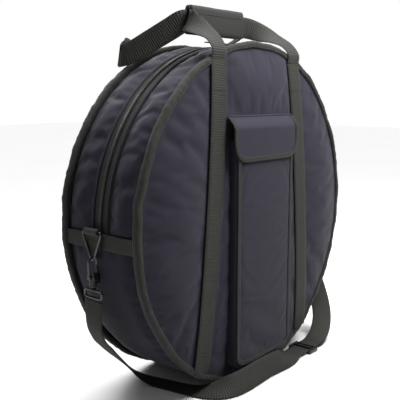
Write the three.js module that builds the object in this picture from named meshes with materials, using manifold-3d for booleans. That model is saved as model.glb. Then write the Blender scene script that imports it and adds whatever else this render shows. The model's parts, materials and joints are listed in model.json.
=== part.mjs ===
// Round padded cymbal bag with an outside drum-stick pocket, standing on its edge.
// Millimetres, +Z up. The bag's flat front faces -Y and its disc axis runs along Y.
// The origin is on the floor, under the centre of the round body.
import * as THREE from "three";
import * as BufferGeometryUtils from "three/addons/utils/BufferGeometryUtils.js";
import Module from "manifold-3d";

const wasm = await Module();
wasm.setup();

// ---------------------------------------------------------------- driving dimensions
const RIM_RADIUS = 300;            // outer edge of the bound rims
const CENTRE_Z = 290;              // the bag settles 10 mm onto its rims
const GUSSET_RADIUS = 292;         // outside of the round side wall
const GUSSET_INNER = 284;          // inside of its padding
const LINING_THICKNESS = 1.2;
const GUSSET_HALF = 75;            // half the width of the side wall
const BINDING_INNER = 276;
const BINDING_WIDTH = 5.6;         // thickness of the bound seam, along Y
const PANEL_BULGE = 4.6;           // how far the padded disc stands out past its edge
const PANEL_CLOTH = 2.2;
const PANEL_FLAT_RADIUS = 262;     // the disc slopes to its edge beyond this radius
const PANEL_EDGE_RADIUS = 291;
const CLEARANCE = 0.3;             // gap between pieces that touch
const LATHE_SEGMENTS = 48;

const ZIP_TAPE_WIDTH = 13;
const ZIP_TOOTH = 3;               // half the width of the closed chain
const ZIP_TOOTH_HEIGHT = 2.2;

const WEBBING = 38;
const WEBBING_THICKNESS = 2;
const STRIP_TOP_X = 110;           // spacing of the sewn strips at the top of a panel
const STRIP_BOTTOM_X = 154;        // and at the bottom
const STRIP_TOP_Z = 556;
const STRIP_BOTTOM_Z = 50;

const POCKET_HALF = 88;
const POCKET_BOTTOM_Z = 28;
const POCKET_TOP_Z = 425;
const POCKET_DEPTH = 16;
const POCKET_WALL = 1.6;
const POCKET_CORNER = 26;
const FLAP_HALF = 96;
const FLAP_TOP_Z = 466;
const FLAP_BOTTOM_Z = 388;
const FLAP_CORNER = 34;
const FLAP_EDGE = 4.5;             // width of the flap's binding
const FLAP_THICKNESS = 2;
const FASTENER_HALF = 50;          // half the length of the hook and loop tapes
const FASTENER_WIDTH = 25;
const FASTENER_THICKNESS = 0.8;

const HANDLE_TOP_Z = 622;          // middle of the gripped stretch
const HANDLE_GAP = 3;              // half the space between the two handles at the grip
const GRIP_HALF = 72;              // half the length of the wrap
const GRIP_OFFSET = -12;           // the wrap sits a little to the left
const WRAP_THICKNESS = 4;
const WRAP_CREST = 6;              // height of the closed edge above the webbing
const WRAP_MARGIN = 2;             // the wrap reaches this far past the webbing's edges

const RING_X = 302;                // plane that the wire rings hang in
const RING_Y = 8;
const RING_BAR_Z = 294;
const RING_HALF = 20;
const RING_DROP = 44;
const RING_WIRE = 2;
const TAB_HALF = 15;               // half the width of the webbing loop on the ring's bar
const TAB_LOW_Z = 262;             // lower end of the loop's sewn tail
const BAND_LOW_Z = 268;            // webbing sewn across the side wall, under the tab
const BAND_HIGH_Z = 288;

const FLOOR_LIFT = 1.2;            // middle of webbing that lies on the floor

// ---------------------------------------------------------------- materials
const paint = (color, roughness, metalness = 0) =>
  new THREE.MeshStandardMaterial({ color, roughness, metalness });
const cloth = paint(0x2c2b38, 0.85);
const liningCloth = paint(0x1d1d22, 0.8);
const foam = paint(0x8b8d90, 0.95);
const tape = paint(0x2c2d28, 0.8);
const webbing = paint(0x24251f, 0.75);
const metal = paint(0x1e2224, 0.35, 0.8);
const plastic = paint(0x141517, 0.4);
const hookTape = paint(0x18181a, 0.9);

// ---------------------------------------------------------------- solids
// A closed geometry becomes a solid once its corners are shared and its slivers are gone.
function solidOf(geometry) {
  const plain = geometry.clone();
  plain.deleteAttribute("normal");
  plain.deleteAttribute("uv");
  const merged = BufferGeometryUtils.mergeVertices(plain, 1e-4);
  const index = merged.index.array;
  const kept = [];
  for (let i = 0; i < index.length; i += 3) {
    const [a, b, c] = [index[i], index[i + 1], index[i + 2]];
    if (a !== b && b !== c && c !== a) kept.push(a, b, c);
  }
  const vertProperties = new Float32Array(merged.attributes.position.array);
  const triVerts = new Uint32Array(kept);
  return new wasm.Manifold(new wasm.Mesh({ numProp: 3, vertProperties, triVerts }));
}

function geometryOf(solid) {
  const mesh = solid.getMesh();
  const geometry = new THREE.BufferGeometry();
  geometry.setAttribute("position", new THREE.Float32BufferAttribute(mesh.vertProperties, 3));
  geometry.setIndex(Array.from(mesh.triVerts));
  geometry.computeVertexNormals();
  return geometry;
}

function box(x0, x1, y0, y1, z0, z1) {
  const geometry = new THREE.BoxGeometry(x1 - x0, y1 - y0, z1 - z0);
  geometry.translate((x0 + x1) / 2, (y0 + y1) / 2, (z0 + z1) / 2);
  return solidOf(geometry);
}

// Limits of a box on one side of the middle, low one first.
const ordered = (sign, a, b) => [Math.min(sign * a, sign * b), Math.max(sign * a, sign * b)];

const FAR = 500;
const aboveFloor = box(-FAR, FAR, -FAR, FAR, 0, 2 * FAR);
const aboveFold = box(-FAR, FAR, -FAR, FAR, CENTRE_Z + CLEARANCE / 2, 2 * FAR);
const belowFold = box(-FAR, FAR, -FAR, FAR, 0, CENTRE_Z - CLEARANCE / 2);
const upper = (solid) => solid.intersect(aboveFold);
const lower = (solid) => solid.intersect(belowFold);

// A body of revolution about the disc axis. The profile is (radius, y), counter-clockwise.
function turned(profile) {
  const points = profile.map(([r, y]) => new THREE.Vector2(r, y));
  if (profile[0][0] > 0) points.push(points[0].clone());
  const geometry = new THREE.LatheGeometry(points, LATHE_SEGMENTS);
  geometry.translate(0, 0, CENTRE_Z);
  return solidOf(geometry).intersect(aboveFloor);
}

// Turns a profile drawn for the front (-Y) into the one for the back.
const mirrored = (profile) => profile.map(([r, y]) => [r, -y]).reverse();

function annulus(inner, outer, y0, y1) {
  return turned([[inner, y0], [outer, y0], [outer, y1], [inner, y1]]);
}

// A section carried along stations; each station has a centre and two directions.
function sweep(stations, section, closed = false) {
  const corners = section.length;
  const positions = [];
  const faces = [];
  for (const { centre, across, through } of stations) {
    for (const [a, b] of section) {
      const point = centre.clone().addScaledVector(across, a).addScaledVector(through, b);
      positions.push(point.x, point.y, point.z);
    }
  }
  const spans = closed ? stations.length : stations.length - 1;
  for (let i = 0; i < spans; i += 1) {
    const here = i * corners;
    const next = ((i + 1) % stations.length) * corners;
    for (let k = 0; k < corners; k += 1) {
      const l = (k + 1) % corners;
      if (k < corners / 2) faces.push(here + k, here + l, next + k, here + l, next + l, next + k);
      else faces.push(here + k, here + l, next + l, here + k, next + l, next + k);
    }
  }
  if (!closed) {
    const last = (stations.length - 1) * corners;
    for (let k = 1; k < corners - 1; k += 1) {
      faces.push(0, k + 1, k);
      faces.push(last, last + k, last + k + 1);
    }
  }
  const geometry = new THREE.BufferGeometry();
  geometry.setAttribute("position", new THREE.Float32BufferAttribute(positions, 3));
  geometry.setIndex(faces);
  return geometry;
}

const vector = ([x, y, z]) => new THREE.Vector3(x, y, z);

// Flat webbing through points, with its width turned to the given direction at each point.
function webbingRun(route, steps, { offset = 0, from = 0 } = {}) {
  const path = new THREE.CatmullRomCurve3(route.map(([at]) => vector(at)), false, "centripetal");
  const lean = new THREE.CatmullRomCurve3(route.map(([, to]) => vector(to).normalize()));
  const stations = [];
  for (let i = 0; i <= steps; i += 1) {
    const t = from + ((1 - from) * i) / steps;
    const along = path.getTangent(t);
    const across = lean.getPoint(t);
    across.addScaledVector(along, -across.dot(along)).normalize();
    const through = new THREE.Vector3().crossVectors(along, across);
    const centre = path.getPoint(t).addScaledVector(through, offset);
    stations.push({ centre, across, through });
  }
  const [w, h] = [WEBBING / 2, WEBBING_THICKNESS / 2];
  return solidOf(sweep(stations, [[-w, -h], [w, -h], [w, h], [-w, h]]));
}

// Round wire through the corners of a flat loop that lies across the given normal.
function wireLoop(points, normal, radius, sides = 8) {
  const path = new THREE.CatmullRomCurve3(points.map(vector), true, "catmullrom", 0.25);
  const steps = points.length * 3;
  const stations = [];
  for (let i = 0; i < steps; i += 1) {
    const along = path.getTangent(i / steps);
    const across = new THREE.Vector3().crossVectors(normal, along).normalize();
    stations.push({ centre: path.getPoint(i / steps), across, through: normal.clone() });
  }
  return solidOf(sweep(stations, roundSection(radius, sides), true));
}

function roundSection(radius, sides) {
  const section = [];
  for (let k = 0; k < sides; k += 1) {
    const turn = (2 * Math.PI * (k + 0.5)) / sides;
    section.push([radius * Math.cos(turn), radius * Math.sin(turn)]);
  }
  return section;
}

// Flat outline in X and Z, given thickness along Y.
function slab(shape, y0, y1) {
  const geometry = new THREE.ExtrudeGeometry(shape, {
    depth: y1 - y0, bevelEnabled: false, curveSegments: 5,
  });
  geometry.rotateX(Math.PI / 2);
  geometry.translate(0, y1, 0);
  return solidOf(geometry);
}

// A rectangle whose two bottom corners are round.
function pouchOutline(half, bottom, top, corner) {
  const shape = new THREE.Shape();
  shape.moveTo(-half, top);
  shape.lineTo(-half, bottom + corner);
  shape.absarc(-half + corner, bottom + corner, corner, Math.PI, 1.5 * Math.PI, false);
  shape.absarc(half - corner, bottom + corner, corner, 1.5 * Math.PI, 2 * Math.PI, false);
  shape.lineTo(half, top);
  shape.closePath();
  return shape;
}

// ---------------------------------------------------------------- scene graph
const bag = new THREE.Group();
bag.name = "cymbal_bag";

function place(parent, name, solid, material) {
  const mesh = new THREE.Mesh(geometryOf(solid), material);
  mesh.name = name;
  parent.add(mesh);
}

function section(name) {
  const group = new THREE.Group();
  group.name = name;
  bag.add(group);
  return group;
}

// ---------------------------------------------------------------- round panels
const BINDING_Y = GUSSET_HALF + CLEARANCE;
const SHELL_EDGE_Y = BINDING_Y + BINDING_WIDTH + CLEARANCE;
const FACE_EDGE_Y = SHELL_EDGE_Y + PANEL_CLOTH;
const FACE_Y = FACE_EDGE_Y + PANEL_BULGE;

// Distance of a panel's outer face from the middle plane, at a radius.
function faceY(radius) {
  const slope = (radius - PANEL_FLAT_RADIUS) / (PANEL_EDGE_RADIUS - PANEL_FLAT_RADIUS);
  return FACE_Y - PANEL_BULGE * Math.min(1, Math.max(0, slope));
}

const shellProfile = [
  [0, -FACE_Y], [PANEL_FLAT_RADIUS, -FACE_Y], [PANEL_EDGE_RADIUS, -FACE_EDGE_Y],
  [PANEL_EDGE_RADIUS, -SHELL_EDGE_Y], [PANEL_FLAT_RADIUS, PANEL_CLOTH - FACE_Y],
  [0, PANEL_CLOTH - FACE_Y],
];
const FOAM_RADIUS = BINDING_INNER - 0.5;
const FOAM_FACE = FACE_Y - PANEL_CLOTH - CLEARANCE;
const foamProfile = [
  [0, -FOAM_FACE], [PANEL_FLAT_RADIUS - 1, -FOAM_FACE],
  [FOAM_RADIUS, PANEL_CLOTH + CLEARANCE - faceY(FOAM_RADIUS)],
  [FOAM_RADIUS, -BINDING_Y], [0, -BINDING_Y],
];
const LINING_RADIUS = GUSSET_INNER - CLEARANCE - LINING_THICKNESS;
const PANEL_LINING_RADIUS = LINING_RADIUS - CLEARANCE;
const liningProfile = [
  [0, -GUSSET_HALF], [PANEL_LINING_RADIUS, -GUSSET_HALF],
  [PANEL_LINING_RADIUS, LINING_THICKNESS - GUSSET_HALF], [0, LINING_THICKNESS - GUSSET_HALF],
];

function panels() {
  const layers = [
    ["shell", shellProfile, cloth], ["foam", foamProfile, foam],
    ["lining", liningProfile, liningCloth],
  ];
  const group = section("panels");
  for (const [layer, profile, material] of layers) {
    const front = turned(profile);
    place(group, `front_panel_upper_${layer}`, upper(front), material);
    place(group, `front_panel_lower_${layer}`, lower(front), material);
    place(group, `back_panel_${layer}`, turned(mirrored(profile)), material);
  }
}

function bindings() {
  const edge = RIM_RADIUS - BINDING_WIDTH / 3;
  const bevel = BINDING_WIDTH / 3;
  const profile = [
    [BINDING_INNER, -BINDING_Y - BINDING_WIDTH], [edge, -BINDING_Y - BINDING_WIDTH],
    [RIM_RADIUS, -BINDING_Y - BINDING_WIDTH + bevel], [RIM_RADIUS, -BINDING_Y - bevel],
    [edge, -BINDING_Y], [BINDING_INNER, -BINDING_Y],
  ];
  const group = section("bindings");
  const front = turned(profile);
  place(group, "front_binding_upper", upper(front), tape);
  place(group, "front_binding_lower", lower(front), tape);
  place(group, "back_binding", turned(mirrored(profile)), tape);
}

// ---------------------------------------------------------------- side wall and zipper
const TAPE_OUTER_Y = ZIP_TAPE_WIDTH + 1.2;
const GUSSET_SPLIT_Y = TAPE_OUTER_Y + CLEARANCE;

function sideWall() {
  const group = section("side_wall");
  const layers = [
    ["shell", GUSSET_INNER, GUSSET_RADIUS, cloth],
    ["lining", LINING_RADIUS, LINING_RADIUS + LINING_THICKNESS, liningCloth],
  ];
  for (const [layer, inner, outer, material] of layers) {
    const whole = annulus(inner, outer, -GUSSET_HALF, GUSSET_HALF);
    const front = annulus(inner, outer, -GUSSET_HALF, -GUSSET_SPLIT_Y);
    const back = annulus(inner, outer, GUSSET_SPLIT_Y, GUSSET_HALF);
    place(group, `gusset_lower_${layer}`, lower(whole), material);
    place(group, `gusset_upper_front_${layer}`, upper(front), material);
    place(group, `gusset_upper_back_${layer}`, upper(back), material);
  }
}

function zipper() {
  const group = section("zipper");
  const tapeTop = GUSSET_RADIUS - 0.6;
  const toothBase = tapeTop + CLEARANCE;
  for (const [side, sign] of [["front", -1], ["back", 1]]) {
    const strip = (inner, outer, a, b) =>
      upper(annulus(inner, outer, Math.min(sign * a, sign * b), Math.max(sign * a, sign * b)));
    const tapeStrip = strip(tapeTop - 1.6, tapeTop, 1.2, TAPE_OUTER_Y);
    const teeth = strip(toothBase, toothBase + ZIP_TOOTH_HEIGHT, CLEARANCE / 2, ZIP_TOOTH);
    place(group, `zipper_tape_${side}`, tapeStrip, tape);
    place(group, `zipper_chain_${side}`, teeth, plastic);
  }
}

// Both sliders meet at the top. Each carries a pull that lies along the closed zipper and
// turns on a pin.
const SLIDER_BASE_Z = CENTRE_Z + GUSSET_RADIUS + ZIP_TOOTH_HEIGHT + 1.6;
const SLIDER_PIN_X = 8;
const SLIDER_PIN_Z = SLIDER_BASE_Z + 4.2;
const SLIDER_PLATE = { from: 1, to: 14, half: 5, thick: 1.8 };
const SLIDER_LEG = { half: 1.4, inner: 2.2, outer: 3.6 };
const PULL_END_X = 40;
const PULL_GRIP_X = 17;            // the pull widens into a grip beyond this
const PULL_HALF_THICK = 0.8;

function pinAcross(radius, length, x, z) {
  return solidOf(new THREE.CylinderGeometry(radius, radius, length, 12).translate(x, 0, z));
}

function sliders() {
  const group = section("sliders");
  for (const [side, sign] of [["left", -1], ["right", 1]]) {
    const pinX = sign * SLIDER_PIN_X;
    const { from, to, half, thick } = SLIDER_PLATE;
    const leg = SLIDER_LEG;
    const plate = box(...ordered(sign, from, to), -half, half, SLIDER_BASE_Z,
      SLIDER_BASE_Z + thick);
    const legs = [-leg.outer, leg.inner].map((y) => box(...ordered(sign, SLIDER_PIN_X - leg.half,
      SLIDER_PIN_X + leg.half), y, y + leg.outer - leg.inner, SLIDER_BASE_Z + 1,
      SLIDER_PIN_Z + leg.half));
    const pin = pinAcross(0.9, 6, pinX, SLIDER_PIN_Z);
    place(group, `zip_slider_${side}`, plate.add(legs[0]).add(legs[1]).add(pin), metal);
    const eye = pinAcross(2, 3.4, pinX, SLIDER_PIN_Z);
    const flat = [SLIDER_PIN_Z - PULL_HALF_THICK, SLIDER_PIN_Z + PULL_HALF_THICK];
    const arm = box(...ordered(sign, SLIDER_PIN_X, PULL_END_X), -1.7, 1.7, ...flat);
    const grip = box(...ordered(sign, PULL_GRIP_X, PULL_END_X), -4, 4, ...flat);
    const hole = pinAcross(1.3, 8, pinX, SLIDER_PIN_Z);
    place(group, `zip_pull_${side}`, eye.add(arm).add(grip).subtract(hole), metal);
  }
}

// ---------------------------------------------------------------- sewn strips and handles
function stripRoute(sign, face, fromZ, toZ) {
  const steps = Math.round(Math.abs(toZ - fromZ) / 21);
  const route = [];
  for (let i = 0; i <= steps; i += 1) {
    const z = fromZ + ((toZ - fromZ) * i) / steps;
    const rise = (z - STRIP_BOTTOM_Z) / (STRIP_TOP_Z - STRIP_BOTTOM_Z);
    const x = sign * (STRIP_BOTTOM_X + (STRIP_TOP_X - STRIP_BOTTOM_X) * rise);
    const reach = Math.hypot(Math.abs(x) - WEBBING / 2, z - CENTRE_Z);
    const y = face * (faceY(reach - 8) + WEBBING_THICKNESS / 2 + 2 * CLEARANCE);
    route.push([[x, y, z], [1, 0, 0]]);
  }
  return route;
}

function strips() {
  const group = section("strips");
  const half = CLEARANCE / 2;
  for (const [side, sign] of [["left", -1], ["right", 1]]) {
    const high = webbingRun(stripRoute(sign, -1, CENTRE_Z + half, STRIP_TOP_Z), 12);
    const low = webbingRun(stripRoute(sign, -1, STRIP_BOTTOM_Z, CENTRE_Z - half), 12);
    const back = webbingRun(stripRoute(sign, 1, STRIP_BOTTOM_Z, STRIP_TOP_Z), 24);
    place(group, `front_strip_${side}_upper`, high, webbing);
    place(group, `front_strip_${side}_lower`, low, webbing);
    place(group, `back_strip_${side}`, back, webbing);
  }
}

// Each leg rises from its strip, leans in over the rim and turns on edge to meet the grip,
// where the two handles stand face to face. The back handle's left leg bows outwards.
const HANDLE_FOOT_Z = STRIP_TOP_Z + 3;
const HANDLE_FOOT_Y = FACE_EDGE_Y + 2 * WEBBING_THICKNESS;
const ON_EDGE = [0, 0, 1];
const footOfLeg = [
  [[STRIP_TOP_X, HANDLE_FOOT_Y + 0.4, HANDLE_FOOT_Z], [1, 0, 0]],
  [[STRIP_TOP_X, HANDLE_FOOT_Y, HANDLE_FOOT_Z + 13], [1, 0, 0]],
];
const twistedFoot = footOfLeg.map(([at]) => [at, [-1, 0, 0]]);
const leftLeg = [
  ...twistedFoot,
  [[109, 74, 588], [-1, 0, 0.1]],
  [[107, 50, 602], [-0.9, 0.3, 0.3]],
  [[102, 25, 614], [-0.6, 0.5, 0.6]],
  [[94, 7, 621], [-0.3, 0.3, 0.9]],
  [[82, HANDLE_GAP, HANDLE_TOP_Z], ON_EDGE],
  [[54, HANDLE_GAP, HANDLE_TOP_Z], ON_EDGE],
  [[20, HANDLE_GAP, HANDLE_TOP_Z], ON_EDGE],
];
const rightLeg = [
  ...footOfLeg,
  [[107, 74, 588], [1, 0, 0.1]],
  [[102, 50, 601], [0.95, 0, 0.35]],
  [[93, 26, 612], [0.6, 0, 0.8]],
  [[79, 9, 620], [0.2, 0, 1]],
  [[64, HANDLE_GAP, HANDLE_TOP_Z], ON_EDGE],
  [[44, HANDLE_GAP, HANDLE_TOP_Z], ON_EDGE],
  [[20, HANDLE_GAP, HANDLE_TOP_Z], ON_EDGE],
];
const bowedLeg = [
  ...twistedFoot,
  [[118, 96, 573], [-1, 0, 0.1]],
  [[133, 101, 578], [-0.85, -0.1, 0.45]],
  [[148, 99, 572], [-0.5, 0, 0.85]],
  [[158, 91, 565], [-0.2, 0.2, 1]],
  [[159, 79, 566], [-0.05, 0.3, 1]],
  [[150, 63, 573], [0, 0.3, 1]],
  [[134, 43, 588], [0, 0.2, 1]],
  [[113, 19, 607], [0, 0.1, 1]],
  [[95, 4.8, 620.5], ON_EDGE],
  [[80, HANDLE_GAP, HANDLE_TOP_Z], ON_EDGE],
  [[54, HANDLE_GAP, HANDLE_TOP_Z], ON_EDGE],
  [[20, HANDLE_GAP, HANDLE_TOP_Z], ON_EDGE],
];

function handleRoute(face) {
  const placed = (leg, side) => leg.map(([[x, y, z], [a, b, c]]) =>
    [[side * x, face * y, z], [side * a, face * b, c]]);
  return [...placed(face > 0 ? bowedLeg : leftLeg, -1), ...placed(rightLeg, 1).reverse()];
}

function handles() {
  const group = section("handles");
  for (const [side, face] of [["front", -1], ["back", 1]]) {
    place(group, `${side}_handle`, webbingRun(handleRoute(face), 52), webbing);
    const near = face * (HANDLE_GAP + WEBBING_THICKNESS / 2 + 3 * CLEARANCE);
    const far = near + face * WRAP_THICKNESS;
    const crest = face * 0.4;
    const span = (a, b) => [Math.min(a, b), Math.max(a, b)];
    const ends = [GRIP_OFFSET - GRIP_HALF, GRIP_OFFSET + GRIP_HALF];
    const low = HANDLE_TOP_Z - WEBBING / 2 - WRAP_MARGIN;
    const high = HANDLE_TOP_Z + WEBBING / 2 + WRAP_MARGIN;
    const top = high + WRAP_CREST;
    const wall = box(...ends, ...span(near, far), low, top);
    const cap = box(...ends, ...span(crest, far), high, top);
    place(group, `grip_wrap_${side}`, wall.add(cap), hookTape);
  }
}

// ---------------------------------------------------------------- stick pocket
const POCKET_BACK = -FACE_Y - CLEARANCE;
const POCKET_FACE = POCKET_BACK - POCKET_DEPTH;

function stickPocket() {
  const group = section("stick_pocket");
  const outside = slab(pouchOutline(POCKET_HALF, POCKET_BOTTOM_Z, POCKET_TOP_Z, POCKET_CORNER),
    POCKET_FACE, POCKET_BACK);
  const inside = slab(pouchOutline(POCKET_HALF - POCKET_WALL, POCKET_BOTTOM_Z + POCKET_WALL,
    POCKET_TOP_Z + 1, POCKET_CORNER - POCKET_WALL), POCKET_FACE + POCKET_WALL, POCKET_BACK + 1);
  const pouch = outside.subtract(inside);
  place(group, "stick_pocket_upper", upper(pouch), cloth);
  place(group, "stick_pocket_lower", lower(pouch), cloth);
}

// The flap is sewn along its top edge, steps out over the pocket's mouth and hangs over it.
function pocketFlap() {
  const group = section("pocket_flap");
  const inner = POCKET_FACE - 2.6;
  const outer = inner - FLAP_THICKNESS;
  const sheet = new THREE.Shape();
  sheet.moveTo(POCKET_BACK, FLAP_TOP_Z);
  sheet.lineTo(POCKET_BACK, FLAP_TOP_Z - 2);
  sheet.lineTo(POCKET_BACK - 6, FLAP_TOP_Z - 4);
  sheet.lineTo(inner, FLAP_TOP_Z - 18);
  sheet.lineTo(inner, FLAP_BOTTOM_Z);
  sheet.lineTo(outer, FLAP_BOTTOM_Z);
  sheet.lineTo(outer, FLAP_TOP_Z - 15);
  sheet.lineTo(POCKET_BACK - 8, FLAP_TOP_Z - 1);
  sheet.closePath();
  const across = new THREE.ExtrudeGeometry(sheet, { depth: 2 * FLAP_HALF, bevelEnabled: false });
  across.rotateX(Math.PI / 2);
  across.rotateZ(Math.PI / 2);
  across.translate(-FLAP_HALF, 0, 0);
  const edge = FLAP_EDGE + CLEARANCE;
  const outline = pouchOutline(FLAP_HALF - edge, FLAP_BOTTOM_Z + edge, FLAP_TOP_Z + 1,
    FLAP_CORNER - edge);
  place(group, "pocket_flap", solidOf(across).intersect(slab(outline, outer - 1, 0)), cloth);

  const rim = slab(pouchOutline(FLAP_HALF, FLAP_BOTTOM_Z, FLAP_TOP_Z - 20, FLAP_CORNER),
    outer - 0.6, inner + 0.4);
  const hole = slab(pouchOutline(FLAP_HALF - FLAP_EDGE, FLAP_BOTTOM_Z + FLAP_EDGE,
    FLAP_TOP_Z, FLAP_CORNER - FLAP_EDGE), outer - 2, inner + 2);
  place(group, "pocket_flap_binding", rim.subtract(hole), tape);
  const low = FLAP_BOTTOM_Z + 10;
  const fastener = (y) => box(-FASTENER_HALF, FASTENER_HALF, y, y + FASTENER_THICKNESS, low,
    low + FASTENER_WIDTH);
  place(group, "flap_hook_tape", fastener(inner + CLEARANCE), hookTape);
  place(group, "pocket_loop_tape", fastener(POCKET_FACE - CLEARANCE - FASTENER_THICKNESS),
    hookTape);
}

// ---------------------------------------------------------------- rings and hooks
function ringMount(group, side, sign) {
  const band = box(...ordered(sign, GUSSET_RADIUS + 0.3, GUSSET_RADIUS + 2.1),
    1 - GUSSET_HALF, GUSSET_HALF - 1, BAND_LOW_Z, BAND_HIGH_Z);
  place(group, `cross_band_${side}`, band, webbing);
  const across = [RING_Y - TAB_HALF, RING_Y + TAB_HALF];
  const rollRadius = 5;
  const boreRadius = RING_WIRE + 0.8;
  const tail = box(...ordered(sign, GUSSET_RADIUS + 2.4, GUSSET_RADIUS + 4.8), ...across,
    TAB_LOW_Z, RING_BAR_Z);
  const loop = box(...ordered(sign, RING_X - rollRadius - 0.4, RING_X + rollRadius - 0.4), ...across,
    RING_BAR_Z - rollRadius, RING_BAR_Z + rollRadius);
  const bore = solidOf(new THREE.CylinderGeometry(boreRadius, boreRadius, 4 * TAB_HALF, 12)
    .translate(sign * RING_X, RING_Y, RING_BAR_Z));
  place(group, `ring_tab_${side}`, loop.add(tail).subtract(bore), webbing);
}

// A triangle of wire: a level bar at the top and two sides that meet at a round tip.
function ring(group, side, sign) {
  const halfLoop = [
    [RING_HALF * 0.65, 0], [RING_HALF * 0.9, 0], [RING_HALF, -3], [RING_HALF * 0.6, -21],
    [RING_HALF * 0.175, 2 - RING_DROP],
  ];
  const at = ([y, drop]) => [sign * RING_X, RING_Y + y, RING_BAR_Z + drop];
  const otherHalf = halfLoop.map(([y, drop]) => [-y, drop]).reverse();
  const corners = [[0, 0], ...halfLoop, [0, -RING_DROP], ...otherHalf].map(at);
  place(group, `wire_ring_${side}`, wireLoop(corners, new THREE.Vector3(1, 0, 0), RING_WIRE),
    metal);
}

// Heights on the snap hook, from the strap up.
const EYE_BAR_Z = 190;
const BARREL_LOW = 207;
const BARREL_TOP = 228;
const HOOP_Z = 246.6;
const HOOP_RADIUS = 8;
const HOOP_WIRE = 1.8;
const HOOP_TIP_Z = 241;
const BARREL_RADIUS = 6;
const BOLT_RADIUS = 1.6;
const BOLT_LOW = BARREL_LOW + 14;
const EYE_OUTSIDE = { half: 21, thick: 4, low: EYE_BAR_Z - 2, high: EYE_BAR_Z + 14 };
const EYE_WINDOW = { half: 17.5, low: EYE_BAR_Z + 2, high: EYE_BAR_Z + 10 };

// Half turn of wire from the barrel over to the tip that the bolt meets.
function hoopWire(x, sign) {
  const arm = [[HOOP_RADIUS, BARREL_TOP - 6], [HOOP_RADIUS, HOOP_Z - 6]];
  const steps = 8;
  for (let i = 0; i <= steps; i += 1) {
    const turn = (Math.PI * i) / steps;
    arm.push([HOOP_RADIUS * Math.cos(turn), HOOP_Z + HOOP_RADIUS * Math.sin(turn)]);
  }
  arm.push([-HOOP_RADIUS, HOOP_TIP_Z]);
  const through = new THREE.Vector3(0, 1, 0);
  const stations = arm.map(([reach, z], i) => {
    const before = arm[Math.max(0, i - 1)];
    const after = arm[Math.min(arm.length - 1, i + 1)];
    const along = new THREE.Vector3(sign * (after[0] - before[0]), 0, after[1] - before[1]);
    const across = new THREE.Vector3().crossVectors(through, along.normalize());
    return { centre: new THREE.Vector3(x + sign * reach, RING_Y, z), across, through };
  });
  return solidOf(sweep(stations, roundSection(HOOP_WIRE, 8)));
}

function upright(radius, low, high, x, sides) {
  return solidOf(new THREE.CylinderGeometry(radius, radius, high - low, sides)
    .rotateX(Math.PI / 2).translate(x, RING_Y, (low + high) / 2));
}

// A wire hoop that a spring bolt closes, on a barrel. The bolt is on the side of the bag.
function snapHook(group, side, sign) {
  const x = sign * RING_X;
  const boltX = x - sign * HOOP_RADIUS;
  const at = (a, b) => ordered(sign, RING_X + a, RING_X + b);
  const deep = (half) => [RING_Y - half, RING_Y + half];
  const barrel = upright(BARREL_RADIUS, BARREL_LOW, BARREL_TOP, x, 16);
  const cheek = box(...at(-11.4, 0), ...deep(3.4), BARREL_LOW + 4, BARREL_TOP);
  const shoulder = box(...at(0, 10), ...deep(3), BARREL_TOP - 8, BARREL_TOP);
  const channel = box(...at(-10.1, -5.9), ...deep(2.1), BARREL_LOW + 6, BARREL_TOP + 1);
  const mouth = box(...at(-14, -8), ...deep(1.4), BARREL_LOW + 6, BARREL_TOP - 2);
  const body = hoopWire(x, sign).add(barrel).add(cheek).add(shoulder);
  place(group, `snap_hook_${side}`, body.subtract(channel).subtract(mouth), metal);

  const bolt = upright(BOLT_RADIUS, BOLT_LOW, HOOP_TIP_Z - CLEARANCE, boltX, 10);
  const thumb = box(...at(-13, -8), ...deep(1), BOLT_LOW + 1, BOLT_LOW + 4);
  place(group, `hook_bolt_${side}`, bolt.add(thumb), metal);
}

// The flat loop that the shoulder strap is sewn around, with the post that the hook turns on.
function swivelEye(group, side, sign) {
  const x = sign * RING_X;
  const { half, thick, low, high } = EYE_OUTSIDE;
  const outside = box(x - thick, x + thick, RING_Y - half, RING_Y + half, low, high);
  const window = box(x - thick - 1, x + thick + 1, RING_Y - EYE_WINDOW.half,
    RING_Y + EYE_WINDOW.half, EYE_WINDOW.low, EYE_WINDOW.high);
  place(group, `swivel_eye_${side}`, outside.subtract(window), metal);
}

function fittings() {
  for (const [side, sign] of [["left", -1], ["right", 1]]) {
    const group = section(`fittings_${side}`);
    ringMount(group, side, sign);
    ring(group, side, sign);
    snapHook(group, side, sign);
    swivelEye(group, side, sign);
  }
}

// ---------------------------------------------------------------- shoulder strap
const ADJUSTER_X = 140;
const ADJUSTER_Y = -104;
const ADJUSTER_Z = 4.6;            // middle of the webbing where it passes the adjuster
const STRAP_TOP_Z = EYE_BAR_Z - 5;

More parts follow.
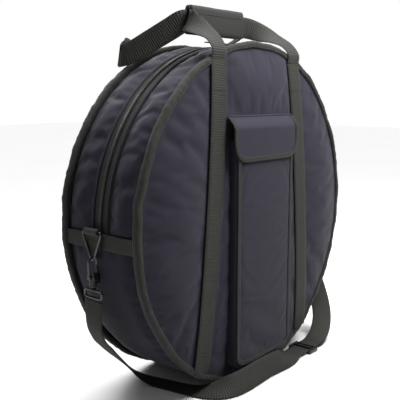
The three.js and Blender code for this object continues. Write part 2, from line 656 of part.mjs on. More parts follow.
// From the left hook down beside the bag, under its edge, forward, and along the front.
const leftRun = [
  [[-302, 8, STRAP_TOP_Z], [0, 1, 0]],
  [[-301, 10, 160], [0, 1, 0]],
  [[-296, 14, 136], [0.1, 1, 0]],
  [[-283, 19, 115], [0.2, 1, -0.1]],
  [[-262, 25, 93], [0.2, 1, -0.1]],
  [[-236, 31, 68], [0.3, 1, -0.1]],
  [[-208, 35, 42], [0.4, 1, 0]],
  [[-184, 33, 18], [0.6, 1, 0]],
  [[-166, 22, 5], [0.9, 0.8, 0]],
  [[-156, 2, FLOOR_LIFT], [1, 0.4, 0]],
  [[-151, -24, FLOOR_LIFT], [1, 0.1, 0]],
  [[-147, -52, 2.6], [1, 0.05, 0.05]],
  [[-141, -80, 6.4], [1, 0.2, 0.25]],
  [[-128, -104, 11.4], [0.7, 0.5, 0.5]],
  [[-106, -119, 16.4], [0.3, 0.5, 0.75]],
  [[-76, -122, 17.4], [0.05, 0.55, 0.8]],
  [[-40, -120, 17.4], [0, 0.55, 0.8]],
  [[0, -119, 17.4], [0, 0.55, 0.8]],
  [[38, -120, 16.4], [0, 0.62, 0.78]],
  [[70, -113, 9.6], [0, 0.9, 0.4]],
  [[94, -105, 6], [0, 1, 0.05]],
  [[108, ADJUSTER_Y, ADJUSTER_Z], [0, 1, 0]],
  [[122, ADJUSTER_Y, ADJUSTER_Z], [0, 1, 0]],
  [[ADJUSTER_X - 0.2, ADJUSTER_Y, ADJUSTER_Z], [0, 1, 0]],
];

// From the adjuster out past the bag's edge and up to the right hook.
const rightRun = [
  [[ADJUSTER_X + 0.2, ADJUSTER_Y, ADJUSTER_Z], [0, 1, 0]],
  [[158, ADJUSTER_Y, ADJUSTER_Z], [0, 1, 0]],
  [[173, ADJUSTER_Y, ADJUSTER_Z + 0.6], [0, 1, 0]],
  [[192, -103, 9], [-0.05, 1, 0.1]],
  [[214, -99, 20], [-0.2, 1, 0.15]],
  [[236, -90, 37], [-0.35, 1, 0.2]],
  [[255, -76, 58], [-0.4, 1, 0.2]],
  [[271, -57, 84], [-0.4, 1, 0.25]],
  [[284, -36, 112], [-0.3, 1, 0.3]],
  [[294, -15, 140], [-0.15, 1, 0.2]],
  [[300, 1, 160], [0, 1, 0.05]],
  [[302, 6.5, STRAP_TOP_Z - 12], [0, 1, 0]],
  [[302, 8, STRAP_TOP_Z], [0, 1, 0]],
];

function shoulderStrap() {
  const group = section("shoulder_strap");
  place(group, "strap_left_run", webbingRun(leftRun, 66), webbing);
  place(group, "strap_right_run", webbingRun(rightRun, 40), webbing);
  const above = { offset: WEBBING_THICKNESS + 3 * CLEARANCE, from: 0.05 };
  place(group, "strap_return_run", webbingRun(rightRun, 38, above), webbing);
}

// Two cross bars under the webbing and one over it, between two side rails.
function slideAdjuster() {
  const inner = WEBBING / 2 + 1;
  const rail = 5;
  const reach = 15;
  const bar = 4;
  const [low, high] = [0.4, 9.2];
  const under = ADJUSTER_Z - WEBBING_THICKNESS / 2 - CLEARANCE;
  const over = ADJUSTER_Z + WEBBING_THICKNESS / 2 + CLEARANCE;
  const rails = [-inner - rail, inner].map((y) => box(ADJUSTER_X - reach, ADJUSTER_X + reach,
    ADJUSTER_Y + y, ADJUSTER_Y + y + rail, low, high));
  const crossbar = (x, z0, z1) => box(x, x + bar, ADJUSTER_Y - inner - 1, ADJUSTER_Y + inner + 1,
    z0, z1);
  const bars = [
    crossbar(ADJUSTER_X - reach, low, under), crossbar(ADJUSTER_X + reach - bar, low, under),
    crossbar(ADJUSTER_X - bar / 2, over, high),
  ];
  const body = [rails[1], ...bars].reduce((sum, piece) => sum.add(piece), rails[0]);
  place(section("adjuster"), "slide_adjuster", body, plastic);
}

panels();
bindings();
sideWall();
zipper();
sliders();
strips();
handles();
stickPocket();
pocketFlap();
fittings();
shoulderStrap();
slideAdjuster();

export default bag;
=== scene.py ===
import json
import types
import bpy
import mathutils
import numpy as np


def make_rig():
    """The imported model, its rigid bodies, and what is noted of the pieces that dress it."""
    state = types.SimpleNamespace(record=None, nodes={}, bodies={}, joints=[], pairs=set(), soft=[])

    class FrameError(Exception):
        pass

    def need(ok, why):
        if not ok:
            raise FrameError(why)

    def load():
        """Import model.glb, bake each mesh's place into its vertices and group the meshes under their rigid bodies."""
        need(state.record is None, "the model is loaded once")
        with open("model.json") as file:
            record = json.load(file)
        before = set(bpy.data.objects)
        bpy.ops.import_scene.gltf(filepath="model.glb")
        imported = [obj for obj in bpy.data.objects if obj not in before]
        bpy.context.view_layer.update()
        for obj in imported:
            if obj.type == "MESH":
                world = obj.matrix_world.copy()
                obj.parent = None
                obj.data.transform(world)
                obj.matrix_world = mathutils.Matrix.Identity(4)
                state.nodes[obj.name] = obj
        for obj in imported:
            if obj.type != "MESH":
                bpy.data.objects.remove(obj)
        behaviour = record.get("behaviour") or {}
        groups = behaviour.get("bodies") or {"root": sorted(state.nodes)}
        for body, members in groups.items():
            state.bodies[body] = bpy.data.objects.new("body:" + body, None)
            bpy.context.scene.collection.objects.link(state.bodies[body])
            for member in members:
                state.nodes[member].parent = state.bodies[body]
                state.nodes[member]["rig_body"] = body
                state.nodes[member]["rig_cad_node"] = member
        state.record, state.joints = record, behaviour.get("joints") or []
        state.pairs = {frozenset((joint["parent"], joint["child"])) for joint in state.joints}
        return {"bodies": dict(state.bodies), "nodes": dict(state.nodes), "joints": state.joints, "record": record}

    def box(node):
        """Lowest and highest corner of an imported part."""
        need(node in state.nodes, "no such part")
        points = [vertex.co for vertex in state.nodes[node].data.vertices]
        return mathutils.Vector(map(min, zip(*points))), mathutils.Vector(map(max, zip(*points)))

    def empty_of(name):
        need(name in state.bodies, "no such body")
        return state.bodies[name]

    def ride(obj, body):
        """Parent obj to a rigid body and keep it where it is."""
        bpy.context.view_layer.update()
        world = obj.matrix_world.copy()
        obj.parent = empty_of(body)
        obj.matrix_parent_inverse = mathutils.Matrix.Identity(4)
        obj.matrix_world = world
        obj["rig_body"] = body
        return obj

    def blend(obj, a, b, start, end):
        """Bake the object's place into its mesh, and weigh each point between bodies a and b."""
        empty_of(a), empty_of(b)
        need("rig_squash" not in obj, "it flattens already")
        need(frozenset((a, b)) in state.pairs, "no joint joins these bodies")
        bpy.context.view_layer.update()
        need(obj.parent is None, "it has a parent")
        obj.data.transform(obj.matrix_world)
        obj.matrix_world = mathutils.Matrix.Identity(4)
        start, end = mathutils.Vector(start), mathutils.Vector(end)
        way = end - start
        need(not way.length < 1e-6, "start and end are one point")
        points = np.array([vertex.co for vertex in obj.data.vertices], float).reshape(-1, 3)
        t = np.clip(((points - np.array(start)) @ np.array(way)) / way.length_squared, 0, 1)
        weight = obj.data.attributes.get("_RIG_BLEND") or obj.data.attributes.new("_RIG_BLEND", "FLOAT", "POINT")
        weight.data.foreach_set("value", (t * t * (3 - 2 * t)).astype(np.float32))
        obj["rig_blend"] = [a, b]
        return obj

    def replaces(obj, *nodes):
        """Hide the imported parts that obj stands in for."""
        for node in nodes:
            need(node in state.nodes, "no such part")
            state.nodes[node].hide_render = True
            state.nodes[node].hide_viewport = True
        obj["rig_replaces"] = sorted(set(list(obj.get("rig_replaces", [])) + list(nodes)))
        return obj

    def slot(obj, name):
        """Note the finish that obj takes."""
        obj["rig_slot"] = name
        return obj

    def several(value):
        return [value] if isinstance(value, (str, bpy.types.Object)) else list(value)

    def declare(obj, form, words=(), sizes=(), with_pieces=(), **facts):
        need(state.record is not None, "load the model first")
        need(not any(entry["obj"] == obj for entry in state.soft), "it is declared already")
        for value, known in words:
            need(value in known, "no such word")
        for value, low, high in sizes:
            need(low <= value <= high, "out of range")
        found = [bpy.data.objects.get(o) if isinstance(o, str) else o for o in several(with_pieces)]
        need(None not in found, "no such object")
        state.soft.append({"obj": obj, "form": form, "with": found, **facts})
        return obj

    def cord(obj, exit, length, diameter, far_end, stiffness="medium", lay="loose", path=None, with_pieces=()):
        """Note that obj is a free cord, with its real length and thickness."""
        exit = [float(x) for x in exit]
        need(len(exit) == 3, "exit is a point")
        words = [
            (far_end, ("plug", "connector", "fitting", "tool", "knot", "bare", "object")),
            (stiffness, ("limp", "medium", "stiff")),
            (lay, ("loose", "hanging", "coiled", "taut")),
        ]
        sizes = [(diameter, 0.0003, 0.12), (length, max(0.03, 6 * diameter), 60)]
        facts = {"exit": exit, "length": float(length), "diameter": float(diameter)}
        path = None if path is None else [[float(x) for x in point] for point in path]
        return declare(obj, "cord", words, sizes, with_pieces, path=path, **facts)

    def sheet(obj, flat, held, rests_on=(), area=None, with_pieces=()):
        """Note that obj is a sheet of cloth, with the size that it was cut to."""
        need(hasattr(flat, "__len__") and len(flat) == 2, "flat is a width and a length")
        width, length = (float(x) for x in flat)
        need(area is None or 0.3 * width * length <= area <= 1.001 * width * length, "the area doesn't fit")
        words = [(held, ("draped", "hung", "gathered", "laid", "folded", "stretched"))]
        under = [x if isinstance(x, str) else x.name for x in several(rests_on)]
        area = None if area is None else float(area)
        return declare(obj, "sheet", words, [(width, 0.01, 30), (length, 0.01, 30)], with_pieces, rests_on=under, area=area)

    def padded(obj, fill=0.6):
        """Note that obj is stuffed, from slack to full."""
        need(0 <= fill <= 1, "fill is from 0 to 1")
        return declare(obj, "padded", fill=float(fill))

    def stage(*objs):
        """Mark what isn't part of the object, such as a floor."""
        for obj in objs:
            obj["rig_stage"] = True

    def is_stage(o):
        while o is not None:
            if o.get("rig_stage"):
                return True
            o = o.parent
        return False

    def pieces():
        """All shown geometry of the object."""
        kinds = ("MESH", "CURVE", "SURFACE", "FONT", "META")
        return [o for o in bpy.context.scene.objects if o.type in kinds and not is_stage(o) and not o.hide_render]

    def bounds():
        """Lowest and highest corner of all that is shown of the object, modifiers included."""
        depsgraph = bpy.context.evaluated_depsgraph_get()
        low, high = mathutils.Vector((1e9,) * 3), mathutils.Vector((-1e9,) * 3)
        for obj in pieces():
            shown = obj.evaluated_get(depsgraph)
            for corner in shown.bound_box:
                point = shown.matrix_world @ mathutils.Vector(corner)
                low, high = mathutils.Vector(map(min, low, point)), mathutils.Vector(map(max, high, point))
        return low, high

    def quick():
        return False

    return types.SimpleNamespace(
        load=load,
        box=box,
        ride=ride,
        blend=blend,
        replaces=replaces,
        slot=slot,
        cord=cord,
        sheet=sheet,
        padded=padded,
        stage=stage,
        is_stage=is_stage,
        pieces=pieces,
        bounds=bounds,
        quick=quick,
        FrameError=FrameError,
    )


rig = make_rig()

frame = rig.load()
cad_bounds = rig.bounds()

# Looks of a round padded cymbal bag with an outside drum-stick pocket. Metres, +Z up.
import json
import math

import bmesh
import bpy
from mathutils import Vector, noise

# ---------------------------------------------------------------- places taken from the frame
_, rim_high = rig.box("back_binding")
RIM = rim_high[0]
CZ = rim_high[2] - RIM                      # height of the disc's centre
MIDDLE = Vector((0, 0, CZ))
_, gusset_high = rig.box("gusset_upper_back_shell")
GUSSET = gusset_high[2] - CZ                # outside radius of the side wall
SEAM_Y = gusset_high[1]                     # where the side wall meets a rim
_, panel_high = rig.box("back_panel_shell")
FACE = panel_high[1]                        # outermost face of a padded disc
flap_low, flap_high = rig.box("pocket_flap_binding")
_, tape_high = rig.box("zipper_tape_back")
ADJUSTER_LOW, ADJUSTER_HIGH = (Vector(p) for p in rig.box("slide_adjuster"))
ADJUSTER = (ADJUSTER_LOW + ADJUSTER_HIGH) / 2

MM = 0.001
EDGE_FACE = FACE - 4.6 * MM                 # a disc's face at its rim
PANEL_RADIUS = GUSSET - 1 * MM
BULGE = 10 * MM                             # how far a padded disc swells past its rim
FLOOR = 0.6 * MM
WEBBING = 38 * MM
WEBBING_HALF = WEBBING / 2
WEBBING_THICK = 2 * MM
RIB = 3.9 * MM                              # pitch of the webbing's cross ribs
STRIP_TOP = (110 * MM, 556 * MM)            # x and z of the sewn strips' ends
STRIP_BOTTOM = (154 * MM, 42 * MM)
POCKET_HALF = 88 * MM
POCKET_LOW = 28 * MM
POCKET_TOP = 425 * MM
POCKET_FACE = 104 * MM
POCKET_CORNER = 26 * MM
FLAP_HALF = flap_high[0]
FLAP_LOW = flap_low[2]
FLAP_TOP = 466 * MM
FLAP_CORNER = 34 * MM
FLAP_FACE = -flap_low[1] - 1.6 * MM
GRIP_MIDDLE = -12 * MM
GRIP_HALF = 72 * MM
HANDLE_Z = 622 * MM
FOLD = dict(a="bag", b="front_cover", start=(0, 0, CZ), end=(0, 0, CZ + 55 * MM))


def linear(red, green, blue):
    """A colour given as it looks on a screen, from 0 to 255."""
    return [(c / 255 / 12.92 if c < 11 else ((c / 255 + 0.055) / 1.055) ** 2.4)
            for c in (red, green, blue)] + [1]


NAVY = linear(43, 41, 56)
OLIVE = linear(42, 43, 38)
TAPE_COLOUR = linear(32, 33, 28)
BLACK_TAPE = linear(30, 31, 27)


# ---------------------------------------------------------------- camera
def make_camera():
    data = bpy.data.cameras.new("camera")
    data.angle = math.radians(33.2)
    camera = bpy.data.objects.new("camera", data)
    camera.location = (-0.966, -0.757, 0.499)
    aim = Vector((-0.022, 0.027, 0.307))
    camera.rotation_euler = (aim - camera.location).to_track_quat("-Z", "Y").to_euler()
    bpy.context.scene.collection.objects.link(camera)
    bpy.context.scene.camera = camera


# ---------------------------------------------------------------- material nodes
class Surface:
    """A material's nodes, added one call at a time."""

    def __init__(self, name, **socket_values):
        self.material = bpy.data.materials.new(name)
        self.material.use_nodes = True
        self.tree = self.material.node_tree
        self.shader = self.tree.nodes["Principled BSDF"]
        for socket, value in socket_values.items():
            self.shader.inputs[socket.replace("_", " ")].default_value = value

    def node(self, kind, inputs, **settings):
        made = self.tree.nodes.new(kind)
        for key, value in settings.items():
            setattr(made, key, value)
        for key, value in inputs.items():
            if isinstance(value, bpy.types.NodeSocket):
                self.tree.links.new(value, made.inputs[key])
            else:
                made.inputs[key].default_value = value
        return made

    def maths(self, operation, *values):
        return self.node("ShaderNodeMath", dict(enumerate(values)), operation=operation).outputs[0]

    def spread(self, value, low, high):
        """A number that runs from low to high as value runs from 0 to 1."""
        made = self.node("ShaderNodeMapRange", {"Value": value, "To Min": low, "To Max": high})
        return made.outputs["Result"]

    def threads(self):
        """Distance across and along the cloth, in metres."""
        uv = self.node("ShaderNodeUVMap", {}, uv_map="thread").outputs["UV"]
        split = self.node("ShaderNodeSeparateXYZ", {0: uv}).outputs
        return split[0], split[1]

    def place(self):
        return self.node("ShaderNodeTexCoord", {}).outputs["Object"]

    def wave(self, distance, pitch):
        turn = self.maths("MULTIPLY", distance, 2 * math.pi / pitch)
        return self.maths("SINE", turn)

    def grain(self, scale, detail=2.0, rough=0.5):
        inputs = {"Vector": self.place(), "Scale": scale, "Detail": detail, "Roughness": rough}
        return self.node("ShaderNodeTexNoise", inputs).outputs["Fac"]

    def mix(self, share, first, second):
        inputs = {0: share, 6: first, 7: second}
        return self.node("ShaderNodeMix", inputs, data_type="RGBA").outputs[2]

    def bump(self, height, distance, strength=1.0, after=None):
        inputs = {"Height": height, "Distance": distance, "Strength": strength}
        if after is not None:
            inputs["Normal"] = after
        return self.node("ShaderNodeBump", inputs).outputs["Normal"]

    def finish(self, colour, roughness, normal):
        for socket, value in (("Base Color", colour), ("Roughness", roughness), ("Normal", normal)):
            self.tree.links.new(value, self.shader.inputs[socket])
        return self.material


def shade(colour, factor):
    return [c * factor for c in colour[:3]] + [1]


def woven(name, colour, pitch=1.3 * MM, contrast=0.3, sheen=0.12):
    """Plain-weave nylon: crossing threads, a fine speckle, and slow fading over the bag."""
    s = Surface(name, Sheen_Weight=sheen, Sheen_Roughness=0.5, Specular_IOR_Level=0.25)
    u, v = s.threads()
    weave = s.maths("MULTIPLY", s.wave(u, pitch), s.wave(v, pitch))
    thread = s.spread(s.maths("MULTIPLY_ADD", weave, 0.5, 0.5), 0.0, 1.0)
    speckle = s.grain(420, 3, 0.7)
    fade = s.grain(9, 3, 0.6)
    light = s.maths("MULTIPLY_ADD", speckle, 0.75, s.maths("MULTIPLY", thread, 0.25))
    tone = s.mix(light, shade(colour, 1 - 1.3 * contrast), shade(colour, 1 + 1.3 * contrast))
    worn = s.mix(s.spread(fade, 0.0, 1.0), shade(colour, 0.72), shade(linear(46, 44, 58), 1.1))
    blended = s.mix(s.spread(fade, 0.05, 0.4), tone, worn)
    rough = s.spread(speckle, 0.62, 0.9)
    normal = s.bump(speckle, 0.5 * MM, 0.35)
    normal = s.bump(thread, 0.25 * MM, 0.5, normal)
    return s.finish(blended, rough, normal)


def ribbed(name, colour, pitch=RIB, lengthwise=1.5 * MM, contrast=0.35):
    """Woven tape: cross ribs, finer threads lengthwise and a matt nap, with painted shade: the colour is darker in the
    grooves and lighter on the crests of the ribs.
    """
    s = Surface(name, Sheen_Weight=0.1, Sheen_Roughness=0.45, Specular_IOR_Level=0.35)
    u, v = s.threads()
    rib = s.maths("MULTIPLY_ADD", s.wave(v, pitch), 0.5, 0.5)
    twist = s.maths("MULTIPLY_ADD", s.wave(u, lengthwise), 0.5, 0.5)
    speckle = s.grain(500, 3, 0.7)
    wear = s.grain(22, 3, 0.6)
    # painted shade and painted highlight: the colour follows rib and thread height, dark in the grooves and light on
    # the crests, mixed with a random speckle
    height = s.maths("MULTIPLY_ADD", rib, 0.7, s.maths("MULTIPLY", twist, 0.3))
    light = s.maths("MULTIPLY_ADD", height, 0.6, s.maths("MULTIPLY", speckle, 0.4))
    tone = s.mix(light, shade(colour, 1 - contrast), shade(colour, 1 + contrast))
    worn = s.mix(s.spread(wear, 0.0, 0.5), tone, shade(colour, 1.25))
    rough = s.spread(speckle, 0.55, 0.85)
    normal = s.bump(height, 0.4 * MM, 0.8)
    normal = s.bump(speckle, 0.3 * MM, 0.3, normal)
    return s.finish(worn, rough, normal)


def fuzzy(name, colour):
    """Hook or loop tape: a dense random pile."""
    s = Surface(name, Sheen_Weight=0.5, Sheen_Roughness=0.6, Specular_IOR_Level=0.2)
    pile = s.node("ShaderNodeTexVoronoi", {"Vector": s.place(), "Scale": 900}).outputs["Distance"]
    tuft = s.grain(260, 4, 0.7)
    tone = s.mix(s.maths("MULTIPLY_ADD", pile, 0.6, s.maths("MULTIPLY", tuft, 0.5)),
                 shade(colour, 0.6), shade(colour, 1.6))
    return s.finish(tone, s.spread(tuft, 0.8, 0.98), s.bump(pile, 0.6 * MM, 0.8))


def sponge(name, colour):
    """Padding foam with fine cells and yellowed patches."""
    s = Surface(name, Subsurface_Weight=0.1)
    cells = s.node("ShaderNodeTexVoronoi", {"Vector": s.place(), "Scale": 700}).outputs["Distance"]
    patches = s.grain(30, 3)
    tone = s.mix(s.spread(patches, 0, 1), shade(colour, 0.85), shade(colour, 1.1))
    pitted = s.mix(s.spread(cells, 0.0, 0.8), shade(colour, 0.6), tone)
    return s.finish(pitted, s.spread(patches, 0.85, 0.98), s.bump(cells, 0.5 * MM, 0.7))


def plated(name, colour):
    """Blackened metal: smooth, with rubbed patches and fine scratches."""
    s = Surface(name, Metallic=0.9, Coat_Weight=0.2, Coat_Roughness=0.3)
    patches = s.grain(90, 4, 0.6)
    scratch = s.node("ShaderNodeTexNoise", {
        "Vector": s.node("ShaderNodeMapping", {"Vector": s.place(), "Scale": (1, 1, 12)}).outputs[0],
        "Scale": 260, "Detail": 3}).outputs["Fac"]
    rubbed = s.maths("MULTIPLY", s.spread(patches, 0, 1), s.spread(scratch, 0.3, 1))
    tone = s.mix(rubbed, shade(colour, 0.7), shade(colour, 2.4))
    normal = s.bump(scratch, 0.12 * MM, 0.5)
    return s.finish(tone, s.spread(patches, 0.22, 0.5), normal)


def moulded(name, colour):
    """Black moulded plastic with a fine spark-eroded grain and shinier worn spots."""
    s = Surface(name, Specular_IOR_Level=0.5)
    grain = s.grain(1400, 2)
    patches = s.grain(70, 3)
    tone = s.mix(s.spread(patches, 0, 1), shade(colour, 0.75), shade(colour, 1.5))
    return s.finish(tone, s.spread(patches, 0.25, 0.55), s.bump(grain, 0.12 * MM, 0.6))


def thread_finish(name, colour):
    """Twisted sewing thread."""
    s = Surface(name, Sheen_Weight=0.3, Specular_IOR_Level=0.4)
    twist = s.grain(1600, 2)
    tone = s.mix(twist, shade(colour, 0.7), shade(colour, 1.4))
    return s.finish(tone, s.spread(twist, 0.45, 0.75), s.bump(twist, 0.1 * MM, 0.6))


NYLON = woven("navy_nylon", NAVY)
LINING = woven("black_lining", linear(30, 30, 34), 0.9 * MM, 0.2)
# the ribbed finishes paint shade into their rib grooves; contrast sets how strong that painted shade is
BINDING = ribbed("binding_tape", TAPE_COLOUR, 1.6 * MM, 1.1 * MM)
STRAP = ribbed("olive_webbing", OLIVE, contrast=0.55)
WRAP = ribbed("grip_cloth", linear(41, 41, 38), 2.0 * MM, 1.4 * MM, 0.3)
ZIP_TAPE = ribbed("zipper_cloth", BLACK_TAPE, 1.0 * MM, 0.8 * MM, 0.25)
PILE = fuzzy("hook_and_loop_pile", linear(36, 36, 38))
FOAM = sponge("grey_foam", linear(150, 152, 150))
METAL = plated("blackened_metal", linear(52, 56, 55))
PLASTIC = moulded("black_moulding", linear(26, 27, 27))
TEETH = moulded("zipper_teeth_plastic", linear(22, 22, 24))
THREAD = thread_finish("sewing_thread", linear(58, 58, 52))
DARK_THREAD = thread_finish("dark_thread", linear(24, 24, 26))


# ---------------------------------------------------------------- meshes
def new_piece(name, verts, faces, uvs, material):
    """uvs gives one (across, along) pair, in metres, for each corner of each face."""
    mesh = bpy.data.meshes.new(name)
    mesh.from_pydata([tuple(v) for v in verts], [], faces)
    layer = mesh.uv_layers.new(name="thread")
    flat = [number for face in uvs for pair in face for number in pair]
    layer.data.foreach_set("uv", flat)
    mesh.materials.append(material)
    mesh.polygons.foreach_set("use_smooth", [True] * len(mesh.polygons))
    mesh.update()
    piece = bpy.data.objects.new(name, mesh)
    bpy.context.scene.collection.objects.link(piece)
    return piece


def grid(name, rows, columns, point, uv, material, closed=False):
    """A sheet of rows by columns of points. closed joins the last column to the first."""
    verts = [point(i, j) for i in range(rows) for j in range(columns)]
    faces = []
    uvs = []
    for i in range(rows - 1):
        for j in range(columns if closed else columns - 1):
            corners = [(i, j), (i, j + 1), (i + 1, j + 1), (i + 1, j)]
            faces.append([a * columns + b % columns for a, b in corners])
            uvs.append([uv(a, b) for a, b in corners])
    return new_piece(name, verts, faces, uvs, material)


def sweep(name, stations, section, material, start=0.0):
    """A closed section carried along stations of (centre, across, through), with flat ends."""
    lengths = [start]
    for (before, _, _), (after, _, _) in zip(stations, stations[1:]):
        lengths.append(lengths[-1] + (after - before).length)
    girth = [0.0]
    for k, (a, b) in enumerate(section):
        c, d = section[(k + 1) % len(section)]
        girth.append(girth[-1] + math.hypot(c - a, d - b))
    sides = len(section)
    verts = [centre + across * a + through * b
             for centre, across, through in stations for a, b in section]
    faces = []
    uvs = []
    for i in range(len(stations) - 1):
        for k in range(sides):
            corners = [(i, k), (i, k + 1), (i + 1, k + 1), (i + 1, k)]
            faces.append([a * sides + b % sides for a, b in corners])
            uvs.append([(girth[b], lengths[a]) for a, b in corners])
    last = (len(stations) - 1) * sides
    for face, along in (([k for k in reversed(range(sides))], lengths[0]),
                        ([last + k for k in range(sides)], lengths[-1])):
        faces.append(face)
        uvs.append([(section[k % sides][0], along) for k in face])
    return new_piece(name, verts, faces, uvs, material)


def thicken(piece, thickness, outward=0.0):
    solid = piece.modifiers.new("thickness", "SOLIDIFY")
    solid.thickness = thickness
    solid.offset = outward
    solid.use_even_offset = False


def smooth(piece, levels=1):
    piece.modifiers.new("smooth", "SUBSURF").levels = levels
    piece.modifiers["smooth"].render_levels = levels


def settle_mesh(piece):
    """Turns the modifiers' result into the piece's own mesh."""
    view = bpy.context.evaluated_depsgraph_get()
    done = bpy.data.meshes.new_from_object(piece.evaluated_get(view), depsgraph=view)
    piece.modifiers.clear()
    piece.data = done


def join(name, pieces):
    """One piece from several, with a material slot for each of their materials."""
    bpy.ops.object.select_all(action="DESELECT")
    for piece in pieces:
        piece.select_set(True)
    bpy.context.view_layer.objects.active = pieces[0]
    bpy.ops.object.join()
    pieces[0].name = name
    return pieces[0]


def attach(piece, body, slot, *nodes):
    """Puts a finished piece on its body, or across the front cover's fold."""
    settle_mesh(piece)
    if body == "fold":
        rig.blend(piece, **FOLD)
    elif isinstance(body, dict):
        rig.blend(piece, **body)
    else:
        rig.ride(piece, body)
    if nodes:
        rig.replaces(piece, *nodes)
    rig.slot(piece, slot)
    return piece


def bevelled_box(name, low, high, edge, material, segments=3):
    """A block with rounded edges, for moulded and cast parts."""
    low, high = Vector(low), Vector(high)
    corners = [(x, y, z) for x in (low.x, high.x) for y in (low.y, high.y) for z in (low.z, high.z)]
    faces = [(0, 1, 3, 2), (4, 6, 7, 5), (0, 4, 5, 1), (2, 3, 7, 6), (0, 2, 6, 4), (1, 5, 7, 3)]
    piece = new_piece(name, corners, faces, [[(0, 0)] * 4] * 6, material)
    bevel = piece.modifiers.new("bevel", "BEVEL")
    bevel.width = edge
    bevel.segments = segments
    settle_mesh(piece)
    return piece


# ---------------------------------------------------------------- curves
def centripetal(points, t):
    """The point at t, from 0 to 1, on the smooth curve through the points."""
    last = len(points) - 1
    place = min(max(t, 0), 1) * last
    i = min(int(place), last - 1)
    weight = place - i
    p1, p2 = points[i], points[i + 1]
    p0 = points[i - 1] if i > 0 else 2 * p1 - p2
    p3 = points[i + 2] if i + 2 <= last else 2 * p2 - p1
    d1 = (p2 - p1).length ** 0.5 or 1
    d0 = (p1 - p0).length ** 0.5 or d1
    d2 = (p3 - p2).length ** 0.5 or d1
    m1 = ((p1 - p0) / d0 - (p2 - p0) / (d0 + d1) + (p2 - p1) / d1) * d1
    m2 = ((p2 - p1) / d1 - (p3 - p1) / (d1 + d2) + (p3 - p2) / d2) * d1
    w2, w3 = weight ** 2, weight ** 3
    return (p1 * (2 * w3 - 3 * w2 + 1) + m1 * (w3 - 2 * w2 + weight)
            + p2 * (3 * w2 - 2 * w3) + m2 * (w3 - w2))


def stations_along(route, spacing, offset=0.0, start=0.0):
    """Evenly spaced (centre, across, through) along a route of (centre, width direction)."""
    centres = [Vector(at) for at, _ in route]
    leans = [Vector(to).normalized() for _, to in route]
    fine = 40 * len(route)
    shares = [start + (1 - start) * k / fine for k in range(fine + 1)]
    points = [centripetal(centres, t) for t in shares]
    length = [0.0]
    for before, after in zip(points, points[1:]):
        length.append(length[-1] + (after - before).length)
    count = max(2, round(length[-1] / spacing))
    made = []
    k = 0
    for i in range(count + 1):
        target = length[-1] * i / count
        while k < fine - 1 and length[k + 1] < target:
            k += 1
        share = (target - length[k]) / max(length[k + 1] - length[k], 1e-9)
        t = shares[k] + (shares[k + 1] - shares[k]) * share
        along = (centripetal(centres, t + 1e-4) - centripetal(centres, t - 1e-4)).normalized()
        across = centripetal(leans, t)
        across = (across - along * across.dot(along)).normalized()
        through = along.cross(across)
        made.append((centripetal(centres, t) + through * offset, across, through))
    return made


def flat_section(width, thickness, steps=6):
    """Webbing cut across: flat faces and round selvedges."""
    half, r = width / 2 - thickness / 2, thickness / 2
    section = []
    for k in range(steps):
        section.append((-half + 2 * half * k / (steps - 1), -r))
    section += [(half + 0.8 * r, -0.6 * r), (half + r, 0), (half + 0.8 * r, 0.6 * r)]
    for k in range(steps):
        section.append((half - 2 * half * k / (steps - 1), r))
    section += [(-half - 0.8 * r, 0.6 * r), (-half - r, 0), (-half - 0.8 * r, -0.6 * r)]
    return section


def ribs_on(piece, stations, sides, depth=0.34 * MM):
    """Raises every rib of swept webbing, so that its faces are ridged."""
    per_rib = 4
    mesh = piece.data
    for i, (centre, _, through) in enumerate(stations):
        lift = depth * math.cos(2 * math.pi * i / per_rib)
        for k in range(sides):
            vertex = mesh.vertices[i * sides + k]
            side = (vertex.co - centre).dot(through)
            vertex.co += through * (lift * (1 if side > 0 else -1 if side < 0 else 0))


def webbing(name, route, offset=0.0, start=0.0, run=0.0, width=WEBBING, material=None):
    """A length of ribbed webbing. Returns the piece and its centre line."""
    stations = stations_along(route, RIB / 4, offset, start)
    section = flat_section(width, WEBBING_THICK)
    piece = sweep(name, stations, section, material or STRAP, run)
    ribs_on(piece, stations, len(section))
    return piece, [centre for centre, _, _ in stations[::6]] + [stations[-1][0]]


def tube(name, points, radius, material, sides=14, closed=False, normal=None):
    """Round wire or cord through points that are already close together."""
    count = len(points)
    stations = []
    for i, point in enumerate(points):
        after = points[(i + 1) % count] if closed else points[min(i + 1, count - 1)]
        before = points[i - 1] if closed else points[max(i - 1, 0)]
        along = (after - before).normalized()
        side = (normal or Vector((0, 1, 0))).cross(along).normalized()
        stations.append((point, side, along.cross(side)))
    if closed:
        stations.append(stations[0])
    section = [(radius * math.cos(2 * math.pi * k / sides), radius * math.sin(2 * math.pi * k / sides))
               for k in range(sides)]
    piece = sweep(name, stations, section, material)
    if closed:
        weld = piece.modifiers.new("weld", "WELD")
        weld.merge_threshold = 0.01 * MM
        mesh = piece.data
        ends = [p.index for p in mesh.polygons if p.loop_total == sides]
        drop_faces(mesh, ends)
        settle_mesh(piece)
    return piece


def drop_faces(mesh, indices):
    work = bmesh.new()
    work.from_mesh(mesh)
    work.faces.ensure_lookup_table()
    bmesh.ops.delete(work, geom=[work.faces[i] for i in indices], context="FACES_ONLY")
    work.to_mesh(mesh)
    work.free()


def dense(points, spacing):
    """Points along straight or curved legs, no further apart than spacing."""
    made = [points[0]]
    for before, after in zip(points, points[1:]):
        steps = max(1, math.ceil((after - before).length / spacing))
        made += [before.lerp(after, k / steps) for k in range(1, steps + 1)]
    return made


